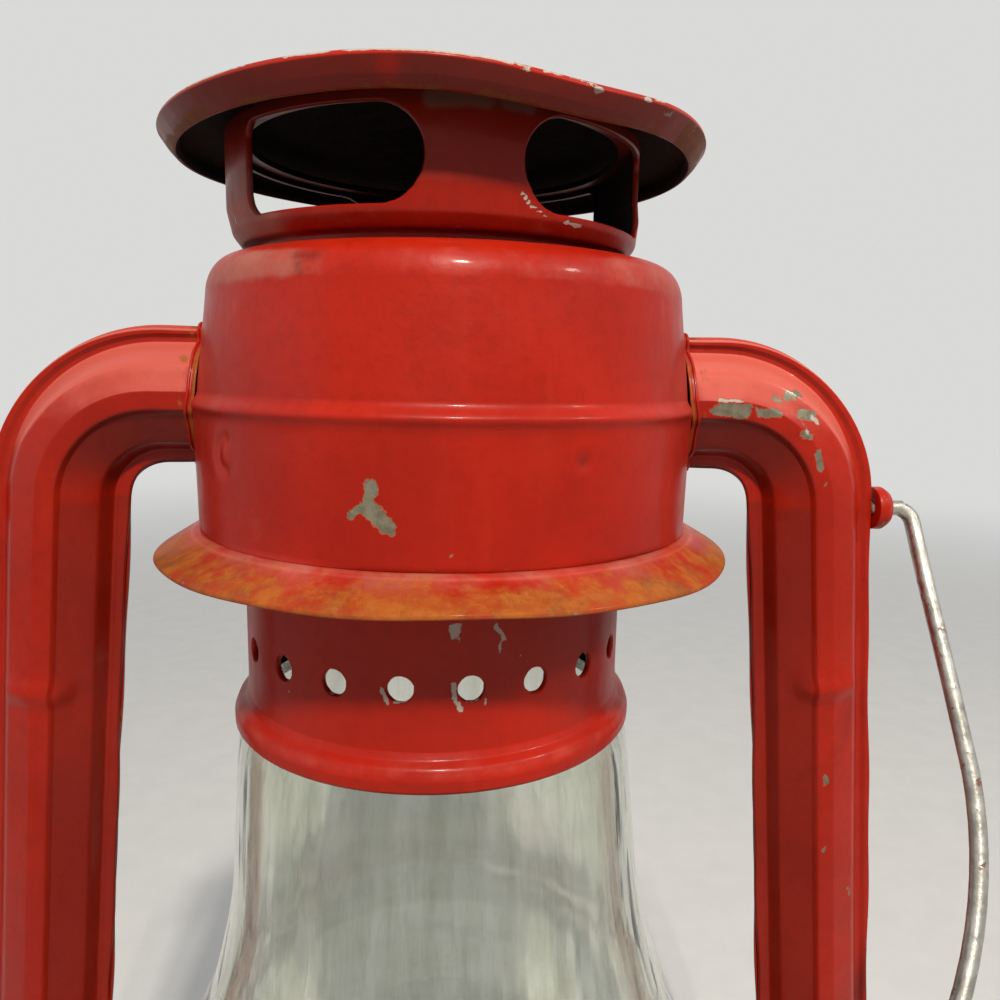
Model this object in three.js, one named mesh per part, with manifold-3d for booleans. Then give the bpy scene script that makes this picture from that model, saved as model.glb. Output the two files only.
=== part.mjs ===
// Kerosene lamp: a storm lantern of pressed steel with two side tubes round a glass globe.
// Millimetres, +Z up. The origin is on the floor under the middle of the tank.
// The front faces -Y, and the side tubes stand on the left (-X) and the right (+X).

import * as THREE from "three";
import { mergeVertices } from "three/addons/utils/BufferGeometryUtils.js";
import Module from "manifold-3d";

const wasm = await Module();
wasm.setup();

// Shared sizes
const sheet = 0.9;
const seatGap = 0.3;
const runningGap = 0.06;
const overrun = 3;
const looseShift = -1.6;

// Sides of the turned pieces and of the round bars
const turnedSides = 28;
const burnerSides = 20;
const smallSides = 16;
const wireSides = 6;
const pinSides = 12;
const holeSides = 6;

// Tank
const tankLedge = 32;
const tankFoot = 1.2;
const tankHeight = 40.5;
const tankShoulder = 6.6;
const tankMouthPlay = 0.4;

// Tank bottom
const rimHeight = 5.2;
const standInset = 0.8;
const standWidth = 5;
const standRise = 1.6;

// Filler
const fillerPlay = 13.8;
const fillerAzimuth = -38.66;
const neckRadius = 9;
const neckWall = 1.4;
const neckFlange = 2.5;
const neckDepth = 2.5;
const neckHeight = 6;
const capWall = 1.4;
const capTopThickness = 1.5;
const capSkirt = 5.2;
const capKnurlDepth = 0.5;
const capKnurls = 16;
const gasketThickness = 1.4;

// Side tubes
const tubeHalfWidth = 10;
const tubeFlangeWidth = 1.9;
const tubeFlange = 0.8;
const tubeShoulderInset = 1.5;
const tubeShoulderDepth = 5.6;
const tubeRidgeRise = 1.6;
const tubeSeam = 0.1;
const tubeTopRise = 17.5;
const tubeLowRise = 11.5;
const tubeTopRun = 4.8;
const tubeBendRadius = 15.8;
const tubeSplay = THREE.MathUtils.degToRad(5.1);
const tubeBendSteps = 6;
const tubeRingWidth = 0.6;
const tubeRingThickness = 1.3;

// Air chamber
const chamberRoom = 7.5;
const chamberTall = 36.9;
const beadAbove = 16.9;
const beadHalfHeight = 1.4;
const beadRise = 0.5;
const chamberWaistInset = 0.7;
const chamberShoulderInset = 2.15;
const chamberShoulderRounding = 3.1;
const chamberMouthPlay = 2;
const airPortHeight = 12;
const airPortWidth = 10;

// Brim under the chamber
const brimWidth = 6.2;
const brimDrop = 3;
const brimPlay = 2.6;
const brimEdge = 0.6;

// Hood: collar, inner chimney, crown and cap
const collarFlare = 3.6;
const lipFlare = 2.1;
const collarTall = 29.9;
const lipBand = 1;
const flareHeight = 5.9;
const collarHoleAbove = 6.9;
const collarHoleRadius = 1.75;
const collarHoles = 20;
const collarHoleAzimuth = 10;
const springSeatLedge = 2.6;
const chimneyInset = 4.2;
const crownGap = 0.9;
const crownNeckDepth = 1.4;
const crownFlare = 5.2;
const crownBowlInset = 1.8;
const crownBowlHeight = 5;
const crownBowlShare = 0.7;
const crownWindowSill = 2.1;
const crownWindowHeight = 11;
const crownWindowHead = 1.6;
const crownTopLip = 3;
const windowRoundEnd = 5.3;
const windowCorner = 1.9;
const capOverhang = 8.2;
const capRimDrop = 0.6;
const capRimRounding = 1.15;
const capRimFall = 1;
const capRise = 6.3;

// The windows in the crown, as azimuths from the front towards the right, in degrees.
// An end is round beside the front and back pillars and has small corners at the sides.
const windows = [
  { start: -52, end: -2, startRounding: windowCorner, endRounding: windowRoundEnd },
  { start: 20, end: 62, startRounding: windowRoundEnd, endRounding: windowCorner },
  { start: 104, end: 164, startRounding: windowCorner, endRounding: windowRoundEnd },
  { start: 204, end: 265, startRounding: windowRoundEnd, endRounding: windowCorner },
];

// The cap's dome from the middle outward: a share of its radius, a share of its rise
const capShares = [
  [0, 1],
  [0.36, 0.8],
  [0.7, 0.42],
];

// Springs over the collar
const springRadius = 3;
const springWire = 0.45;
const springWireSides = 4;
const springCurls = 6;
const springStepsPerCurl = 6;
const springPlay = 0.85;

// Globe
const glass = 1.7;
const globeTall = 91.5;
const globeInsert = 3.2;
const globeBellyRadius = 42;
const globeSteps = 13;

// The globe's outline from the foot to the top: a share of the way from neck to belly, a share of the height
const globeShares = [
  [0.092, 0],
  [0.12, 0.05],
  [0.645, 0.118],
  [1, 0.26],
  [0.9, 0.358],
  [0.603, 0.473],
  [0.348, 0.636],
  [0.248, 0.778],
  [0.177, 0.904],
  [0.12, 0.954],
  [0, 1],
];

// Globe plate and its lifting strut
const platePlay = 0.8;
const plateRimPlay = 3.8;
const plateRimHeight = 4;
const plateHoleRadius = 1.9;
const plateHoles = 10;
const strutBoxPlay = 5;
const strutWidth = 6;
const strutThickness = 1.2;
const padLength = 5;
const padThickness = 1;

// Air box and burner
const airBoxRadius = 24.6;
const airBoxRise = 22.5;
const airBoxLedge = 2.7;
const burnerCollarRadius = 15.2;
const burnerCollarWall = 2.3;
const burnerCollarFlange = 2.2;
const burnerCollarRise = 4;
const burnerBodyStepWidth = 1.9;
const burnerNeckRise = 6.5;
const burnerBodyRise = 21.5;
const coneInset = 2;
const coneSkirt = 10.2;
const coneStepWidth = 2.2;
const coneBand = 3.5;
const coneDome = 9;
const coneShoulderShare = 0.7;
const coneShoulderRiseShare = 0.62;
const coneSlotPlay = 2;
const diffuserHoleRadius = 1.5;
const diffuserHoleInset = 4.6;
const diffuserHoles = 10;

// Wick, its tube and its drive
const wickWidth = 14;
const wickThickness = 1.8;
const wickFloorPlay = 9.5;
const wickSetback = 3.5;
const wickGap = 0.5;
const wickTubeWall = 0.8;
const wickTubeFoot = 3;
const wickTubeRise = 39.5;
const spurRadius = 4.6;
const spurToothDepth = 0.9;
const spurTeeth = 10;
const spurThickness = 2;
const spurSpacing = 8;
const spurPlay = 0.2;
const shaftRadius = 1.1;
const shaftRise = 13.5;
const shaftTail = 1.1;
const shaftReach = 24.9;
const knobRadius = 8.5;
const knobThickness = 3.4;
const knobHubRadius = 3.2;
const knobHubLength = 4;
const knobKnurls = 12;
const knobKnurlDepth = 0.7;

// Lift lever, in a plane through the axis
const leverAzimuth = 40;
const leverPivotRise = 21.5;
const leverArm = 16;
const leverThumb = 15;
const leverRest = THREE.MathUtils.degToRad(22);
const leverHalfHeight = 1.5;
const leverEye = 3.2;
const leverThickness = 2.6;
const leverPinRadius = 1.4;
const leverTabWidth = 10;
const leverTabLength = 8;
const leverTabThickness = 1.6;
const bracketCheek = 1.2;
const bracketLength = 7;
const bracketCrown = 3.4;
const bracketFloor = 1;

// Guard wire and bail
const guardWire = 1.1;
const guardRise = 23;
const guardPlay = 6;
const bailWire = 1.2;
const bailDrop = 16;
const bailCorner = 2.5;
const bailCornerSteps = 3;
const bailArmPlay = 4;
const bailSpread = 2;
const bailStraight = 40;
const bailShortfall = 1.2;
const bailBowSteps = 9;
const guardSteps = 18;
const earRadius = 3.4;
const earThickness = 2;

// Heights worked out from the sizes above, from the tank up
const tankSeat = tankHeight + seatGap;
const airBoxHeight = tankHeight + airBoxRise;
const tubeLowHeight = tankHeight + tubeLowRise;
const shaftHeight = tankHeight + shaftRise;
const leverPivotHeight = tankHeight + leverPivotRise;
const burnerBodyStep = tankHeight + burnerNeckRise;
const burnerBodyTop = tankHeight + burnerBodyRise;
const coneStepHeight = airBoxHeight + seatGap + coneSkirt;
const coneDomeStart = coneStepHeight + coneBand;
const coneTop = coneDomeStart + coneDome;
const wickTop = coneTop - wickSetback;
const plateHeight = coneStepHeight + 2 * seatGap;
const plateTop = plateHeight + sheet;
const globeBottom = plateTop + seatGap;
const guardHeight = plateTop + guardRise;
const globeTop = globeBottom + globeTall;
const lipBottom = globeTop - globeInsert;
const flareTop = lipBottom + flareHeight;
const chamberFoot = lipBottom + collarTall;
const springSeat = chamberFoot + sheet;
const beadHeight = chamberFoot + beadAbove;
const tubeTopHeight = chamberFoot + tubeTopRise;
const bailHeight = tubeTopHeight - bailDrop;
const chamberHeight = chamberFoot + chamberTall;
const springTop = chamberHeight - sheet - seatGap;
const crownBottom = chamberHeight + crownGap;
const windowBottom = crownBottom + crownWindowSill;
const crownTop = windowBottom + crownWindowHeight + crownWindowHead;
const capRimHeight = crownTop - capRimDrop;

// Radii and places worked out from the sizes above
const tankRadius = airBoxRadius + tankLedge;
const rimRadius = tankRadius + seatGap + sheet;
const tankMouthRadius = burnerCollarRadius + tankMouthPlay;
const fillerAngle = THREE.MathUtils.degToRad(fillerAzimuth);
const fillerX = (airBoxRadius + fillerPlay) * Math.sin(fillerAngle);
const fillerY = -(airBoxRadius + fillerPlay) * Math.cos(fillerAngle);
const collarRadius = airBoxRadius + collarFlare;
const chamberRadius = collarRadius + chamberRoom;
const chimneyRadius = collarRadius - chimneyInset;
const crownRadius = chimneyRadius + crownFlare;
const capRadius = crownRadius + capOverhang;
const beadRadius = chamberRadius + beadRise;
const lipRadius = collarRadius + lipFlare;
const globeNeckRadius = collarRadius - seatGap;
const globeFootRadius = globeNeckRadius + (globeBellyRadius - globeNeckRadius) * globeShares[0][0];
const springPlace = chimneyRadius + springRadius + springWire + springPlay;
const crownNeckRadius = chimneyRadius + seatGap + sheet;
const coneRadius = airBoxRadius - coneInset;
const coneUpperRadius = coneRadius - coneStepWidth;
const plateBore = coneUpperRadius + platePlay;
const plateRimRadius = globeFootRadius + plateRimPlay;
const plateHoleCircle = (plateBore + globeFootRadius - glass) / 2;
const strutRadius = airBoxRadius + strutBoxPlay;
const leverPivotRadius = strutRadius + (leverArm * (1 + Math.cos(leverRest))) / 2;
const burnerNeckRadius = burnerCollarRadius - burnerCollarWall - seatGap;
const burnerBodyRadius = burnerNeckRadius + burnerBodyStepWidth;
const spurShaftX = wickThickness / 2 + spurPlay + spurRadius;
const guardReach = globeBellyRadius + guardPlay;
const guardDistance = Math.hypot(guardReach, bailHeight - guardHeight);
const bailReach = guardDistance - bailShortfall;

// The run of a side tube: level out of the chamber, down with a splay, level into the air box.
// It starts inside the chamber's outline and is cut to that outline afterwards.
const tubeSeatX = beadRadius + seatGap;
const tubeStartX = chamberRadius - tubeRingThickness;
const tubeEndX = airBoxRadius + seatGap;
const tubeBendStart = tubeSeatX + tubeTopRun;
const tubeTurn = Math.PI / 2 - tubeSplay;
const tubeUpperEndX = tubeBendStart + tubeBendRadius * Math.cos(tubeSplay);
const tubeUpperEndZ = tubeTopHeight - tubeBendRadius * (1 - Math.sin(tubeSplay));
const tubeLowerCentreZ = tubeLowHeight + tubeBendRadius;
const tubeLowerStartZ = tubeLowerCentreZ + tubeBendRadius * Math.sin(tubeSplay);

function tubeMiddleX(height) {
  return tubeUpperEndX + (tubeUpperEndZ - height) * Math.tan(tubeSplay);
}

// Geometry helpers

function point(radius, height) {
  return new THREE.Vector2(radius, height);
}

// Points on an arc from one angle to another, both in degrees
function arc(centreX, centreY, radius, from, to, steps) {
  const points = [];
  for (let step = 0; step <= steps; step++) {
    const angle = THREE.MathUtils.degToRad(from + ((to - from) * step) / steps);
    points.push(point(centreX + radius * Math.cos(angle), centreY + radius * Math.sin(angle)));
  }
  return points;
}

// A smooth curve through a few points of an outline
function smooth(points, steps) {
  return new THREE.SplineCurve(points).getPoints(steps);
}

function signedVolume(geometry) {
  const position = geometry.attributes.position;
  const index = geometry.index;
  const corners = [new THREE.Vector3(), new THREE.Vector3(), new THREE.Vector3()];
  let total = 0;
  for (let start = 0; start < index.count; start += 3) {
    corners.forEach((corner, place) => corner.fromBufferAttribute(position, index.getX(start + place)));
    total += corners[0].dot(corners[1].clone().cross(corners[2]));
  }
  return total;
}

// Merged vertices, no collapsed triangles, faces pointing out
function closed(geometry) {
  geometry.deleteAttribute("normal");
  geometry.deleteAttribute("uv");
  const merged = mergeVertices(geometry);
  const kept = [];
  for (let start = 0; start < merged.index.count; start += 3) {
    const triangle = [0, 1, 2].map((place) => merged.index.getX(start + place));
    if (new Set(triangle).size === 3) kept.push(...triangle);
  }
  merged.setIndex(kept);
  if (signedVolume(merged) > 0) return merged;
  for (let start = 0; start < kept.length; start += 3) {
    [kept[start], kept[start + 1]] = [kept[start + 1], kept[start]];
  }
  merged.setIndex(kept);
  return merged;
}

function toManifold(geometry) {
  const mesh = closed(geometry);
  const vertProperties = new Float32Array(mesh.attributes.position.array);
  const triVerts = new Uint32Array(mesh.index.array);
  return new wasm.Manifold(new wasm.Mesh({ numProp: 3, vertProperties, triVerts }));
}

function fromManifold(manifold) {
  const mesh = manifold.getMesh();
  const geometry = new THREE.BufferGeometry();
  geometry.setAttribute("position", new THREE.BufferAttribute(new Float32Array(mesh.vertProperties), 3));
  geometry.setIndex([...mesh.triVerts]);
  return geometry;
}

function cut(base, cutters) {
  const result = cutters.reduce((solid, cutter) => solid.subtract(toManifold(cutter)), toManifold(base));
  return fromManifold(result);
}

function join(base, others) {
  const result = others.reduce((solid, other) => solid.add(toManifold(other)), toManifold(base));
  return fromManifold(result);
}

// A turned solid about Z, from a closed outline or from one that starts and ends on the axis
function turn(outline, sides = turnedSides) {
  const points = [...outline];
  const last = points[points.length - 1];
  if (points[0].x > 0 || last.x > 0) points.push(points[0].clone());
  return closed(new THREE.LatheGeometry(points, sides).rotateX(Math.PI / 2));
}

// The outline of a sheet whose outer side is given, with the wall on its left as the points run
function wall(outer, thickness = sheet) {
  const inner = outer.map((corner, place) => {
    const before = place > 0 ? corner.clone().sub(outer[place - 1]).normalize() : null;
    const after = place < outer.length - 1 ? outer[place + 1].clone().sub(corner).normalize() : null;
    const first = before ?? after;
    const second = after ?? before;
    const along = first.clone().add(second).normalize();
    const reach = thickness / along.dot(first);
    const moved = point(corner.x - along.y * reach, corner.y + along.x * reach);
    return corner.x === 0 ? point(0, moved.y) : moved;
  });
  return [...outer, ...inner.reverse()];
}

// A straight round bar along Z, from one height to another
function bar(radius, from, to, sides) {
  const geometry = new THREE.CylinderGeometry(radius, radius, to - from, sides);
  return geometry.rotateX(Math.PI / 2).translate(0, 0, (from + to) / 2);
}

// The radius of a bore with flat sides that keeps a clearance round a bar
function boreRadius(radius, clearance, sides) {
  return (radius + clearance) / Math.cos(Math.PI / sides);
}

function block(width, depth, from, to) {
  return new THREE.BoxGeometry(width, depth, to - from).translate(0, 0, (from + to) / 2);
}

function polygon(radius, sides) {
  return new THREE.Shape(arc(0, 0, radius, 0, 360 - 360 / sides, sides - 1));
}

// A wheel outline whose edge goes in and out, for knurls and teeth
function toothed(radius, rootRadius, teeth) {
  const points = [];
  for (let tooth = 0; tooth < teeth; tooth++) {
    const start = (360 * tooth) / teeth;
    const quarter = 360 / teeth / 4;
    points.push(...arc(0, 0, radius, start, start + quarter, 1));
    points.push(...arc(0, 0, rootRadius, start + 2 * quarter, start + 3 * quarter, 1));
  }
  return new THREE.Shape(points);
}

function extrude(shape, depth) {
  return new THREE.ExtrudeGeometry(shape, { depth, bevelEnabled: false });
}

// A path that runs straight between its stations and keeps them as its steps
class StationPath extends THREE.Curve {
  constructor(stations) {
    super();
    this.stations = stations;
  }
  getPoint(share) {
    const last = this.stations.length - 1;
    const place = Math.min(Math.max(share, 0), 1) * last;
    const index = Math.min(Math.floor(place), last - 1);
    return this.stations[index].clone().lerp(this.stations[index + 1], place - index);
  }
  getUtoTmapping(share) {
    return share;
  }
}

function sweep(shape, stations) {
  const options = { steps: stations.length - 1, extrudePath: new StationPath(stations), bevelEnabled: false };
  return closed(new THREE.ExtrudeGeometry(shape, options));
}

function mirrored(geometry) {
  return closed(geometry.clone().scale(-1, 1, 1));
}

// Finishes

function finish(color, roughness, metalness) {
  return () => new THREE.MeshStandardMaterial({ color, roughness, metalness });
}

const redPaint = finish(0xa81f10, 0.35, 0.1);
const rustyPaint = finish(0x9c5a1c, 0.7, 0.2);
const brass = finish(0xb08a3e, 0.4, 0.9);
const steelWire = finish(0x8c8a86, 0.45, 0.9);
const rubber = finish(0x2c2a28, 0.8, 0);
const cotton = finish(0xd8cfb8, 0.95, 0);

function clearGlass() {
  return new THREE.MeshStandardMaterial({
    color: 0xdfe6dc,
    roughness: 0.05,
    metalness: 0,
    transparent: true,
    opacity: 0.35,
  });
}

const lamp = new THREE.Group();

function add(name, geometry, material, group = lamp) {
  const mesh = new THREE.Mesh(geometry, material());
  mesh.name = name;
  group.add(mesh);
  return mesh;
}

// Tank

function tankBottom() {
  const standOuterRadius = rimRadius - standInset;
  const standInnerRadius = standOuterRadius - standWidth;
  const under = [
    point(0, standRise),
    point(standInnerRadius - standRise, standRise),
    point(standInnerRadius, 0),
    point(standOuterRadius, 0),
    point(rimRadius, standInset),
    point(rimRadius, rimHeight),
  ];
  return turn(wall(under));
}

function tankShell() {
  const outer = [
    point(tankRadius, tankFoot),
    ...arc(tankRadius - tankShoulder, tankHeight - tankShoulder, tankShoulder, 0, 90, 5),
    point(tankMouthRadius, tankHeight),
  ];
  const from = tankHeight - tankShoulder;
  const fillerHole = bar(boreRadius(neckRadius, seatGap, smallSides), from, tankHeight + overrun, smallSides);
  return cut(turn(wall(outer)), [fillerHole.translate(fillerX, fillerY, 0)]);
}

add("tank_bottom", tankBottom(), redPaint);
add("tank_shell", tankShell(), redPaint);

// Filler neck, cap and gasket

const neckBore = neckRadius - neckWall;
const neckTop = tankSeat + neckHeight;
const capBore = neckRadius + seatGap;
const capRadiusOuter = capBore + capWall;
const gasketBottom = neckTop + seatGap;
const capCeiling = gasketBottom + gasketThickness + seatGap;

function fillerNeck() {
  return turn([
    point(neckBore, tankSeat - neckDepth),
    point(neckRadius, tankSeat - neckDepth),
    point(neckRadius, tankSeat),
    point(neckRadius + neckFlange, tankSeat),
    point(neckRadius + neckFlange, tankSeat + sheet),
    point(neckRadius, tankSeat + sheet),
    point(neckRadius, neckTop),
    point(neckBore, neckTop),
  ], smallSides);
}

function fillerCap() {
  const edge = toothed(capRadiusOuter, capRadiusOuter - capKnurlDepth, capKnurls);
  const body = extrude(edge, capSkirt + capTopThickness);
  const hollow = bar(boreRadius(neckRadius, seatGap, smallSides), -overrun, capSkirt, smallSides);
  return cut(body, [hollow]).translate(0, 0, capCeiling - capSkirt);
}

function fillerGasket() {
  return turn([
    point(neckBore, gasketBottom),
    point(neckRadius, gasketBottom),
    point(neckRadius, gasketBottom + gasketThickness),
    point(neckBore, gasketBottom + gasketThickness),
  ], smallSides);
}

const filler = new THREE.Group();
filler.position.set(fillerX, fillerY, 0);
lamp.add(filler);
add("filler_neck", fillerNeck(), redPaint, filler);
add("filler_cap", fillerCap(), redPaint, filler);
add("filler_gasket", fillerGasket(), rubber, filler);

// Side tubes

const tubeBodyHalfWidth = tubeHalfWidth - tubeFlangeWidth;
const tubeShoulderHalfWidth = tubeBodyHalfWidth - tubeShoulderInset;
const tubeRidgeDepth = tubeShoulderDepth + tubeRidgeRise;

// One pressed half of a tube: the outer side, then the inner side, with depth along +y
function tubeHalfShape(side) {
  const outline = [
    [-tubeHalfWidth, tubeSeam / 2],
    [-tubeHalfWidth, tubeFlange],
    [-tubeBodyHalfWidth, tubeFlange],
    [-tubeShoulderHalfWidth, tubeShoulderDepth],
    [0, tubeRidgeDepth],
    [tubeShoulderHalfWidth, tubeShoulderDepth],
    [tubeBodyHalfWidth, tubeFlange],
    [tubeHalfWidth, tubeFlange],
    [tubeHalfWidth, tubeSeam / 2],
    [tubeBodyHalfWidth - sheet, tubeSeam / 2],
    [tubeShoulderHalfWidth - sheet, tubeShoulderDepth - sheet],
    [0, tubeRidgeDepth - sheet],
    [sheet - tubeShoulderHalfWidth, tubeShoulderDepth - sheet],
    [sheet - tubeBodyHalfWidth, tubeSeam / 2],
  ];
  return new THREE.Shape(outline.map(([across, depth]) => point(across, depth * side)));
}

// The whole tube's section grown by a margin
function tubeOutline(margin) {
  const quarter = [
    [tubeHalfWidth + margin, tubeFlange + margin],
    [tubeBodyHalfWidth + margin, tubeFlange + margin],
    [tubeShoulderHalfWidth + margin, tubeShoulderDepth + margin],
    [0, tubeRidgeDepth + margin],
  ];
  const half = [...quarter, ...quarter.slice(0, 3).reverse().map(([across, depth]) => [-across, depth])];
  const other = [...half].reverse().map(([across, depth]) => [across, -depth]);
  return [...half, ...other].map(([across, depth]) => point(across, depth));
}

function tubeStations() {
  const stations = [new THREE.Vector3(tubeStartX, 0, tubeTopHeight)];
  const upperCentreZ = tubeTopHeight - tubeBendRadius;
  for (let step = 0; step <= tubeBendSteps; step++) {
    const turned = (tubeTurn * step) / tubeBendSteps;
    const x = tubeBendStart + tubeBendRadius * Math.sin(turned);
    stations.push(new THREE.Vector3(x, 0, upperCentreZ + tubeBendRadius * Math.cos(turned)));
  }
  const lowerCentreX = tubeMiddleX(tubeLowerStartZ) - tubeBendRadius * Math.cos(tubeSplay);
  for (let step = 0; step <= tubeBendSteps; step++) {
    const angle = tubeSplay - ((Math.PI / 2 + tubeSplay) * step) / tubeBendSteps;
    const x = lowerCentreX + tubeBendRadius * Math.cos(angle);
    stations.push(new THREE.Vector3(x, 0, tubeLowerCentreZ + tubeBendRadius * Math.sin(angle)));
  }
  stations.push(new THREE.Vector3(tubeEndX, 0, tubeLowHeight));
  return stations;
}

// What the chamber takes up, with the gap that the tubes and their rings keep to it
function chamberRoundCutter() {
  return turn([
    point(0, chamberFoot),
    point(tubeSeatX, chamberFoot),
    point(tubeSeatX, chamberHeight),
    point(0, chamberHeight),
  ]);
}

const tubeBack = cut(sweep(tubeHalfShape(1), tubeStations()), [chamberRoundCutter()]);
const tubeFront = cut(sweep(tubeHalfShape(-1), tubeStations()), [chamberRoundCutter()]);
add("tube_right_front", tubeFront, redPaint);
add("tube_right_back", tubeBack, redPaint);
add("tube_left_front", mirrored(tubeFront), redPaint);
add("tube_left_back", mirrored(tubeBack), redPaint);

function tubeRing() {
  const shape = new THREE.Shape(tubeOutline(tubeRingWidth + runningGap));
  shape.holes.push(new THREE.Path(tubeOutline(runningGap)));
  const ring = extrude(shape, tubeSeatX + tubeRingThickness - tubeStartX).rotateY(Math.PI / 2);
  return cut(ring.translate(tubeStartX, 0, tubeTopHeight), [chamberRoundCutter()]);
}

add("tube_ring_right", tubeRing(), rustyPaint);
add("tube_ring_left", mirrored(tubeRing()), rustyPaint);

// Air chamber and brim

function chamberShell() {
  const shoulderRadius = chamberRadius - chamberShoulderInset;
  const outer = [
    point(chamberRadius, chamberFoot),
    point(chamberRadius, beadHeight - beadHalfHeight),
    point(beadRadius, beadHeight),
    point(chamberRadius - chamberWaistInset, beadHeight + beadHalfHeight),
    point(shoulderRadius, chamberHeight - chamberShoulderRounding),
    ...arc(
      shoulderRadius - chamberShoulderRounding, chamberHeight - chamberShoulderRounding,
      chamberShoulderRounding, 20, 90, 3,
    ),
    point(crownNeckRadius + chamberMouthPlay, chamberHeight),
  ];
  const port = block(4 * chamberRadius, airPortWidth, 0, airPortHeight);
  return cut(turn(wall(outer)), [port.translate(0, 0, tubeTopHeight - airPortHeight / 2)]);
}

function chamberBrim() {
  const top = chamberFoot - seatGap;
  const bore = collarRadius + brimPlay;
  const brimRadius = chamberRadius + brimWidth;
  return turn([
    point(bore, top - sheet),
    point(chamberRadius, top - sheet),
    point(brimRadius - brimEdge, top - brimDrop - brimEdge),
    point(brimRadius, top - brimDrop - brimEdge),
    point(brimRadius, top - brimDrop),
    point(chamberRadius, top),
    point(bore, top),
  ]);
}

add("chamber_shell", chamberShell(), redPaint);
add("chamber_brim", chamberBrim(), rustyPaint);

// Hood: a group that stands a little to the left, as loose as the globe under it

const hood = new THREE.Group();
hood.position.x = looseShift;
lamp.add(hood);

function globeCollar() {
  const outer = [
    point(lipRadius, lipBottom),
    point(lipRadius, lipBottom + lipBand),
    ...smooth([
      point(lipRadius, lipBottom + lipBand),
      point((lipRadius + collarRadius) / 2, (lipBottom + flareTop) / 2),
      point(collarRadius, flareTop),
    ], 3).slice(1),
    point(collarRadius, springSeat - sheet - seatGap),
  ];
  const holes = [];
  for (let hole = 0; hole < collarHoles / 2; hole++) {
    const turned = THREE.MathUtils.degToRad(collarHoleAzimuth + (360 * hole) / collarHoles);
    const reach = collarRadius + overrun;
    const drill = bar(collarHoleRadius, -reach, reach, holeSides).rotateX(Math.PI / 2).rotateZ(turned);
    holes.push(drill.translate(0, 0, flareTop + collarHoleAbove));
  }
  return cut(turn(wall(outer)), holes);
}

function innerChimney() {
  const top = crownBottom + crownBowlHeight / 2;
  const inside = chimneyRadius - sheet;
  const ledge = collarRadius + springSeatLedge;
  return turn([
    point(inside, springSeat - sheet),
    point(ledge, springSeat - sheet),
    point(ledge, springSeat),
    point(chimneyRadius, springSeat),
    point(chimneyRadius, top),
    point(inside, top),
  ]);
}

function windowCutter({ start, end, startRounding, endRounding }) {
  const halfChord = crownRadius * Math.sin(THREE.MathUtils.degToRad((end - start) / 2));
  const height = crownWindowHeight;
  const shape = new THREE.Shape([
    ...arc(halfChord - endRounding, endRounding, endRounding, -90, 0, 3),
    ...arc(halfChord - endRounding, height - endRounding, endRounding, 0, 90, 3),
    ...arc(startRounding - halfChord, height - startRounding, startRounding, 90, 180, 3),
    ...arc(startRounding - halfChord, startRounding, startRounding, 180, 270, 3),
  ]);
  const cutter = extrude(shape, 2 * crownRadius).rotateX(Math.PI / 2);
  const middle = THREE.MathUtils.degToRad((start + end) / 2);
  return cutter.translate(0, -chimneyRadius / 2, windowBottom).rotateZ(middle);
}

function crown() {
  const footRadius = crownRadius - crownBowlInset;
  const outer = [
    point(crownNeckRadius, crownBottom - crownNeckDepth),
    point(crownNeckRadius, crownBottom),
    point(footRadius, crownBottom),
    point(footRadius + crownBowlInset * crownBowlShare, crownBottom + crownBowlHeight / 3),
    point(crownRadius, crownBottom + crownBowlHeight),
    point(crownRadius, crownTop),
    point(crownRadius - crownTopLip, crownTop),
  ];
  return cut(turn(wall(outer)), windows.map(windowCutter));
}

function rainCap() {
  const rimCentre = capRadius - capRimRounding;
  const rimInside = rimCentre - capRimRounding;
  const rimFoot = capRimHeight - capRimFall;
  const base = crownTop + seatGap + sheet;
  const top = capShares.map(([across, up]) => point(capRadius * across, base + capRise * up));
  const rim = [
    ...arc(rimCentre, capRimHeight, capRimRounding, 90, 0, 3),
    ...arc(rimCentre, rimFoot, capRimRounding, 0, -90, 3),
  ];
  const under = [
    point(rimInside, rimFoot - capRimRounding + sheet),
    point(rimInside, capRimHeight - capRimRounding + sheet),
    point(crownRadius + sheet, crownTop + seatGap),
    ...[...top].reverse().map((corner) => point(corner.x, corner.y - sheet)),
  ];
  return turn([...top, ...rim, ...under]);
}

add("globe_collar", globeCollar(), redPaint, hood);
add("inner_chimney", innerChimney(), redPaint, hood);
add("crown", crown(), redPaint, hood);
add("rain_cap", rainCap(), redPaint, hood);

// Two springs between the hood's flange and the top of the chamber

function hoodSpring(side) {
  const foot = springSeat + seatGap + springWire;
  const rise = springTop - foot - springWire;
  const steps = springCurls * springStepsPerCurl;
  const stations = [];
  for (let step = 0; step <= steps; step++) {
    const turned = (2 * Math.PI * step) / springStepsPerCurl;
    const x = springRadius * Math.cos(turned);
    const y = springRadius * Math.sin(turned) + side * springPlace;
    stations.push(new THREE.Vector3(x, y, foot + (rise * step) / steps));
  }
  return sweep(polygon(springWire, springWireSides), stations);
}

add("hood_spring_front", hoodSpring(-1), steelWire);
add("hood_spring_back", hoodSpring(1), steelWire);

// Globe and the plate that carries it

function globe() {
  const height = globeTop - globeBottom;
  const bulge = globeBellyRadius - globeNeckRadius;
  const marks = globeShares.map(([out, up]) => {
    return point(globeNeckRadius + bulge * out, globeBottom + height * up);
  });
  return turn(wall(smooth(marks, globeSteps), glass));
}

const globeGroup = new THREE.Group();
globeGroup.position.x = looseShift;
lamp.add(globeGroup);
add("globe", globe(), clearGlass, globeGroup);

function ringOfDrills(radius, circle, count, from, to) {
  const drills = [];
  for (let hole = 0; hole < count; hole++) {
    const angle = (2 * Math.PI * (hole + 1 / 2)) / count;
    const drill = bar(radius, from, to, holeSides);
    drills.push(drill.translate(circle * Math.cos(angle), circle * Math.sin(angle), 0));
  }
  return drills;
}

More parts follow.
